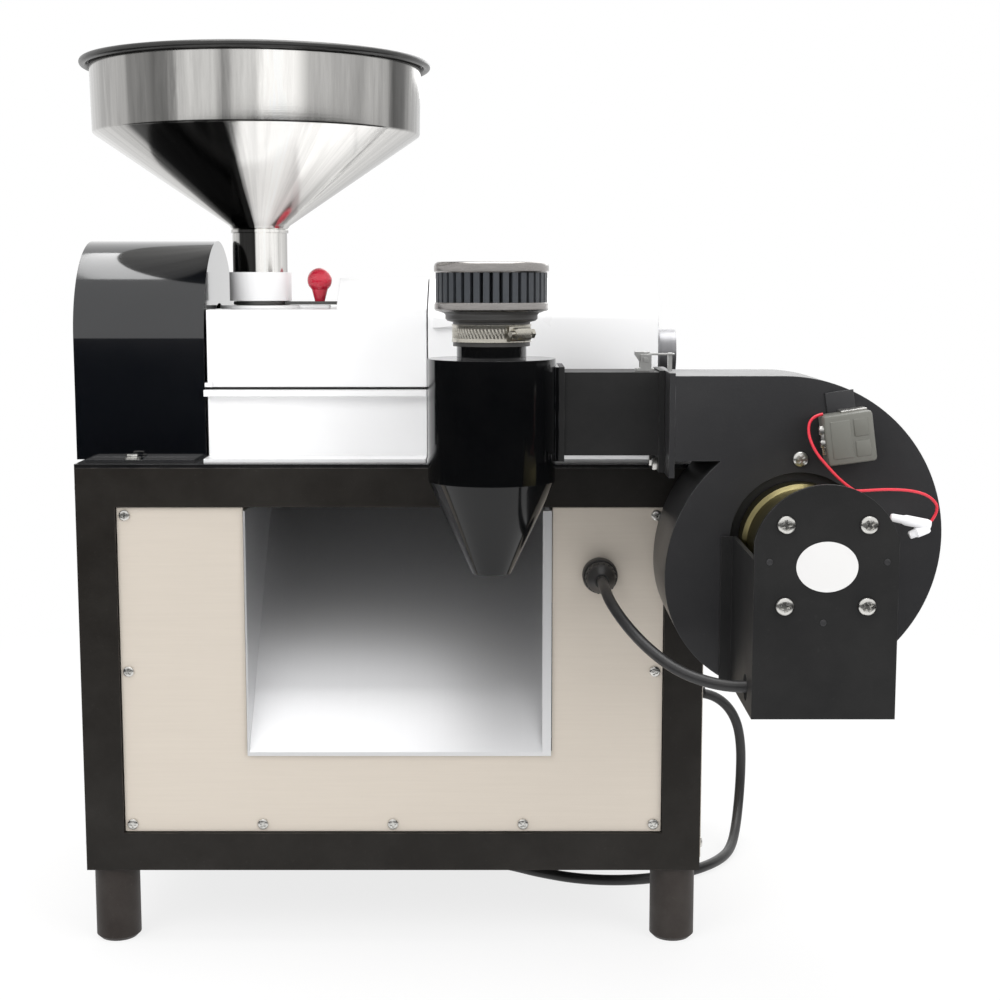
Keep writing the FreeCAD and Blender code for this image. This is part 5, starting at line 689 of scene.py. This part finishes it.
def makeClampBand():
    whole = bmesh.new()
    c = clampBand
    r, t = c["radius"], c["thick"]
    band = [(r, c["low"]), (r + t, c["low"]), (r + t, c["low"] + 0.5), (r + t * 0.7, c["low"] + 1.6),
            (r + t * 0.7, c["high"] - 1.6), (r + t, c["high"] - 0.5), (r + t, c["high"]), (r, c["high"]),
            (r, c["low"])]
    addSpin(whole, band, (c["x"], c["y"], 0), steps=96)
    middle = (c["low"] + c["high"]) / 2
    for count in range(c["slots"]):
        # raised bars between the pressed slots, on the half of the band that faces forwards
        angle = math.radians(-165 + count * 5.2)
        x, y = c["x"] + (r + t * 0.8) * math.cos(angle), c["y"] + (r + t * 0.8) * math.sin(angle)
        addBlock(whole, (x - 0.25, y - 0.55, middle - 3.4), (x + 0.25, y + 0.55, middle + 3.4), 0.15,
                 Matrix.Rotation(angle, 4, "Z") @ Matrix.Rotation(0.25, 4, "X"))
    # the housing is made at the front of the band and then carried round to the right
    housing = bmesh.new()
    front = c["y"] - r
    addBlock(housing, (c["x"] - 8, front - 7, middle - 4.4), (c["x"] + 7, front - 0.6, middle + 4.4), 1.6)
    addBlock(housing, (c["x"] - 10.5, front - 1.9, middle - 5.2), (c["x"] + 9.5, front - 0.5, middle + 5.2),
             0.5)
    addHex(housing, (c["x"] + 7, front - 3.6, middle), "x", 6.4, 3.6, 0.4)
    addSpin(housing, [(0, 0), (2.2, 0), (2.2, 4), (0, 4)], (c["x"] - 12, front - 3.6, middle), "x", steps=24)
    bmesh.ops.rotate(housing, cent=spot(c["x"], c["y"], 0),
                     matrix=Matrix.Rotation(math.radians(c["turn"]), 3, "Z"), verts=housing.verts)
    pour(housing, whole)
    return makePiece("clampBand", whole, bandSteel, "root", ["hose_clamp"], sharp=40)


makeClampBand()

# cable glands: hexagon nut, ribbed dome and tapered tail
glands = {"front": {"foot": (160.2, 3, 294.5), "axis": "-y", "cord": 4, "shares": (1, 1, 1)},
          "side": {"foot": (241.5, 255, 140), "axis": "x", "cord": 4.5, "shares": (0.3, 0.3, 0.6)}}


def makeGlands():
    whole = bmesh.new()
    for gland in glands.values():
        nut, dome, tail = [10 * share for share in gland["shares"]]
        bore = gland["cord"] + 0.1
        addSpin(whole, [(bore, -6), (10.6, -6), (10.6, 0), (13.4, 0), (13.4, nut * 0.85), (12.6, nut),
                        (11.6, nut), (11.6, nut + dome * 0.25), (11, nut + dome),
                        (9.6, nut + dome + tail * 0.25), (7.6, nut + dome + tail * 0.6),
                        (bore + 1.4, nut + dome + tail), (bore, nut + dome + tail), (bore, -6)],
                gland["foot"], gland["axis"], steps=48)
        along = aim(gland["axis"])
        for count in range(18):
            # grip ribs round the dome
            angle = count * math.pi / 9
            part = bmesh.new()
            bmesh.ops.create_cube(part, size=1)
            bmesh.ops.scale(part, vec=(0.0012, 0.0016, dome * 0.8 / 1000), verts=part.verts)
            bmesh.ops.bevel(part, geom=part.edges, offset=0.0003, segments=1, profile=0.5, affect="EDGES",
                            material=-1)
            out = Matrix.Rotation(angle, 4, "Z") @ Matrix.Translation((0.0113, 0, (nut + dome * 0.5) / 1000))
            bmesh.ops.transform(part, matrix=Matrix.Translation(spot(*gland["foot"])) @ along @ out,
                                verts=part.verts)
            pour(part, whole)
    return makePiece("cableGlands", whole, blackNylon, "root", ["cable_glands"])


makeGlands()


def makeLeadSleeve():
    # the tapered sleeve that keeps the mains lead from bending sharply where it leaves
    whole = bmesh.new()
    bore = lead["radius"] + 0.05
    profile = [(bore, 0), (7.6, 0), (7.6, 2)]
    for ring in range(5):
        at = 3 + ring * 3.4
        out = 7.4 - ring * 0.45
        profile += [(out, at), (out, at + 1.7), (out - 1.1, at + 2.1), (out - 1.1, at + 3)]
    profile += [(bore + 0.5, 20), (bore, 20), (bore, 0)]
    addSpin(whole, profile, (253.5, 255, 140), "x", steps=32)
    return makePiece("leadSleeve", whole, blackNylon, "root")


leadSleeve = makeLeadSleeve()

# the fan motor's bracket: a blank oval label, plugged holes and punched marks
bracketFace = {"label": (294.4, 335.6), "half": (20, 16.5), "front": -204,
               "holes": [(257.2, 338.8), (333, 338.8), (292.6, 299)]}


def makeBracketTrim():
    whole = bmesh.new()
    x, z = bracketFace["label"]
    addSpin(whole, [(0, 0), (1, 0), (1, 0.3), (0.97, 0.4), (0, 0.4)], (0, 0, 0), "-y", steps=64)
    centre = spot(0, 0, 0)
    bmesh.ops.translate(whole, vec=-centre, verts=whole.verts)
    bmesh.ops.scale(whole, vec=(bracketFace["half"][0], 1, bracketFace["half"][1]), verts=whole.verts)
    bmesh.ops.translate(whole, vec=spot(x, bracketFace["front"], z), verts=whole.verts)
    return makePiece("blankLabel", whole, labelWhite, "root")


makeBracketTrim()


def makeBracketMarks():
    whole = bmesh.new()
    for x, z in bracketFace["holes"]:
        addSpin(whole, [(0, 0), (2.1, 0), (2.1, 0.25), (1.5, 0.55), (0, 0.2)], (x, bracketFace["front"], z),
                "-y", steps=24)
    return makePiece("bracketMarks", whole, satinBlack, "root")


makeBracketMarks()

# the white sleeves over the red leads' joints lean towards each other like an arrowhead
crimps = {"y": -133, "upper": ((350.6, 358), (378, 352.6)), "lower": ((363.7, 345.4), (377, 351)),
          "radius": 3.7}


def makeCrimps():
    whole = bmesh.new()
    for name in ("upper", "lower"):
        (startX, startZ), (endX, endZ) = crimps[name]
        reach = math.hypot(endX - startX, endZ - startZ)
        r = crimps["radius"]
        part = bmesh.new()
        addSpin(part, [(0, 0), (r * 0.6, 0), (r * 0.75, 1), (r * 0.8, reach * 0.3), (r, reach * 0.38),
                       (r, reach * 0.9), (r * 0.8, reach), (0, reach)], (0, 0, 0), "x", steps=32)
        bmesh.ops.translate(part, vec=-spot(0, 0, 0), verts=part.verts)
        lean = math.atan2(startZ - endZ, endX - startX)
        bmesh.ops.rotate(part, cent=(0, 0, 0), matrix=Matrix.Rotation(lean, 3, "Y"), verts=part.verts)
        bmesh.ops.translate(part, vec=spot(startX, crimps["y"], startZ), verts=part.verts)
        pour(part, whole)
    return makePiece("crimpSleeves", whole, crimpWhite, "root", ["wire_connectors"])


makeCrimps()

# the capacitor: moulded case, back plate, terminals and bright tab edge, all measured from the case's face
capacitor = {"x": 324, "z": 411, "turn": -8, "front": -123.5,
             "capCase": [((-17, 0, -17.5), (17, 22, 17.5), 2.4), ((-13, -0.7, -13), (1, 1, 13), 0.6),
                         ((3, -0.7, 1), (13, 1, 13), 0.6), ((3, -0.7, -13), (13, 1, -2), 0.6)],
             "capTab": [((-10, 22, -17.5), (10, 23.5, 31.5), 0.4)],
             "capTerminals": [((-20.4, 2, 5), (-16.8, 6, 10), 0.4), ((-20.4, 2, -4), (-16.8, 6, 1), 0.4),
                              ((-19.6, 3, -9), (-17, 5, 11), 0.3), ((-3, 8, 17.4), (15, 22, 18.9), 0.3)]}


def makeCapacitor(name, finish):
    whole = bmesh.new()
    for low, high, edge in capacitor[name]:
        addBlock(whole, low, high, edge)
    bmesh.ops.translate(whole, vec=-spot(0, 0, 0), verts=whole.verts)
    turn = Matrix.Rotation(math.radians(capacitor["turn"]), 4, "Y")
    place = Matrix.Translation(spot(capacitor["x"], capacitor["front"], capacitor["z"]))
    bmesh.ops.transform(whole, matrix=place @ turn, verts=whole.verts)
    return makePiece(name, whole, finish, "root", ["capacitor"])


makeCapacitor("capCase", capGrey)
makeCapacitor("capTab", satinBlack)
makeCapacitor("capTerminals", screwSteel)
print("pieces made")

# the model's own nodes, each with its finish
dressed = {
    "front_frame": standPaint, "rear_frame": standPaint, "side_rails": standPaint, "feet": footRubber,
    "deck_plate": deckBlack, "front_panel": panelSteel, "left_panel": panelSteel, "right_panel": panelSteel,
    "rear_panel": panelSteel, "chute": chuteSteel, "belt_guard": guardBlack, "drive_belts": beltRubber,
    "hulling_shaft": zincPlate, "head_pulley": machinedIron, "feed_screw": machinedIron,
    "hulling_roller": machinedIron, "main_motor": motorEnamel, "motor_shaft": zincPlate,
    "motor_pulley": machinedIron, "motor_plate": standPaint, "shaft_bearings": machinedIron,
    "lower_casing": headWhite, "cover_gasket": sealFoam, "upper_cover": headWhite, "feed_trough": zincPlate,
    "hulling_screen": zincPlate, "upper_liner": zincPlate, "hulling_blade": zincPlate,
    "feed_spout": headWhite, "gate_plate": gatePaintedShade, "gate_knob": redGloss, "discharge_box": headWhite,
    "outlet_flap": headWhite, "fan_scroll": satinBlack, "scroll_front_plate": satinBlack,
    "fan_impeller": blackNylon, "fan_motor": yellowZinc, "motor_bracket": bracketBlack,
    "outlet_duct": bracketBlack, "cyclone_body": cycloneBlack, "filter_element": gauze,
    "latch_plates": zincPlate, "latch_lever": zincPlate, "latch_loop": zincPlate, "suction_duct": satinBlack,
    "switch_case": blackNylon, "switch_rocker": redGloss, "mains_plug": blackNylon,
}
for name, finish in dressed.items():
    mesh = nodes[name].data
    mesh.materials.clear()
    mesh.materials.append(finish)
print("nodes dressed:", len(dressed))


# studio: a pale floor that fades to white, a white surround, a low dark backdrop and soft lamps
studio = {"floor": 30, "floorTone": 0.86, "fadeFrom": 0.45, "fadeTo": 1.3, "fadeShare": 0.2,
          "white": 1.0, "ambient": 0.78, "darkRadius": 1.0, "darkTop": 0.46, "darkReach": 110, "aim": 0.35}
# the front lamps aren't mirrored, or they would stand as hard bright squares in the hopper and the guard
lamps = {"key": {"place": (-1.3, -1.7, 1.9), "size": 1.4, "power": 26, "mirrored": False},
         "fill": {"place": (1.6, -1.5, 1.1), "size": 1.6, "power": 26, "mirrored": False},
         "top": {"place": (0.0, 0.2, 2.2), "size": 1.5, "power": 28, "mirrored": True},
         "back": {"place": (0.6, 2.0, 1.5), "size": 1.4, "power": 10, "mirrored": True}}


def placeStage(name, shape, finish, shinyOnly=False):
    # a surface of the studio, perhaps one that shows only in shiny faces
    mesh = bpy.data.meshes.new(name)
    shape.to_mesh(mesh)
    shape.free()
    mesh.materials.append(finish)
    surface = bpy.data.objects.new(name, mesh)
    bpy.context.scene.collection.objects.link(surface)
    if shinyOnly:
        surface.visible_camera = False
        surface.visible_diffuse = False
        surface.visible_shadow = False


def makeFloor():
    # the floor glows for the camera and in reflections, and takes light and shadow for everything else
    finish, tree, shader, place = newFinish("floorWhite")
    tone = studio["floorTone"]
    shader.inputs["Base Color"].default_value = (tone, tone, tone, 1)
    shader.inputs["Roughness"].default_value = 0.9
    shader.inputs["Specular IOR Level"].default_value = 0.1
    distance = addNode(tree, "ShaderNodeVectorMath", {0: place}, operation="LENGTH")
    fade = rangeNode(tree, distance.outputs["Value"], studio["fadeFrom"], studio["fadeTo"])
    seen = addNode(tree, "ShaderNodeLightPath")
    rays = mathNode(tree, "ADD", seen.outputs["Is Camera Ray"], seen.outputs["Is Glossy Ray"], True)
    glow = addNode(tree, "ShaderNodeEmission", {"Color": (1, 1, 1, 1), "Strength": studio["white"]})
    far = mathNode(tree, "MULTIPLY", fade.outputs[0], studio["fadeShare"])
    share = mathNode(tree, "MULTIPLY", rays, mathNode(tree, "ADD", far, 1 - studio["fadeShare"]))
    mixed = addNode(tree, "ShaderNodeMixShader", {0: share, 1: shader.outputs[0], 2: glow.outputs[0]})
    out = [node for node in tree.nodes if node.type == "OUTPUT_MATERIAL"][0]
    tree.links.new(mixed.outputs[0], out.inputs[0])
    shape = bmesh.new()
    bmesh.ops.create_grid(shape, x_segments=1, y_segments=1, size=studio["floor"])
    placeStage("floor", shape, finish)


def makeSurround():
    world = bpy.data.worlds.new("surround")
    bpy.context.scene.world = world
    world.use_nodes = True
    tree = world.node_tree
    tree.nodes.clear()
    seen = addNode(tree, "ShaderNodeLightPath")
    rays = mathNode(tree, "ADD", seen.outputs["Is Camera Ray"], seen.outputs["Is Transmission Ray"], True)
    rays = mathNode(tree, "ADD", rays, seen.outputs["Is Glossy Ray"], True)
    strength = rangeNode(tree, rays, toLow=studio["ambient"], toHigh=studio["white"])
    back = addNode(tree, "ShaderNodeBackground", {"Color": (1, 1, 1, 1), "Strength": strength.outputs[0]})
    out = addNode(tree, "ShaderNodeOutputWorld")
    tree.links.new(back.outputs[0], out.inputs[0])


def makeBackdrop():
    # the dark backdrop stands round the camera's side; its reach is in degrees either way
    finish, tree, shader, place = newFinish("backdropBlack")
    shader.inputs["Base Color"].default_value = (0.005, 0.005, 0.005, 1)
    shader.inputs["Roughness"].default_value = 1.0
    shape = bmesh.new()
    turn = Matrix.Rotation(math.radians(-studio["darkReach"]), 3, "Z")
    start = turn @ Vector((0, -studio["darkRadius"], 0))
    line = [shape.verts.new(start + Vector((0, 0, z))) for z in (0, studio["darkTop"])]
    edge = shape.edges.new(line)
    bmesh.ops.spin(shape, geom=line + [edge], cent=(0, 0, 0), axis=(0, 0, 1),
                   angle=math.radians(2 * studio["darkReach"]), steps=48)
    placeStage("darkBackdrop", shape, finish, shinyOnly=True)


def makeLamps():
    for name, lamp in lamps.items():
        light = bpy.data.lights.new(name, "AREA")
        light.size = lamp["size"]
        light.energy = lamp["power"]
        item = bpy.data.objects.new(name, light)
        item.location = lamp["place"]
        towards = Vector((0, 0, studio["aim"])) - Vector(lamp["place"])
        item.rotation_euler = towards.to_track_quat("-Z", "Y").to_euler()
        item.visible_glossy = lamp["mirrored"]
        bpy.context.scene.collection.objects.link(item)


makeFloor()
makeSurround()
makeBackdrop()
makeLamps()
print("studio lit")
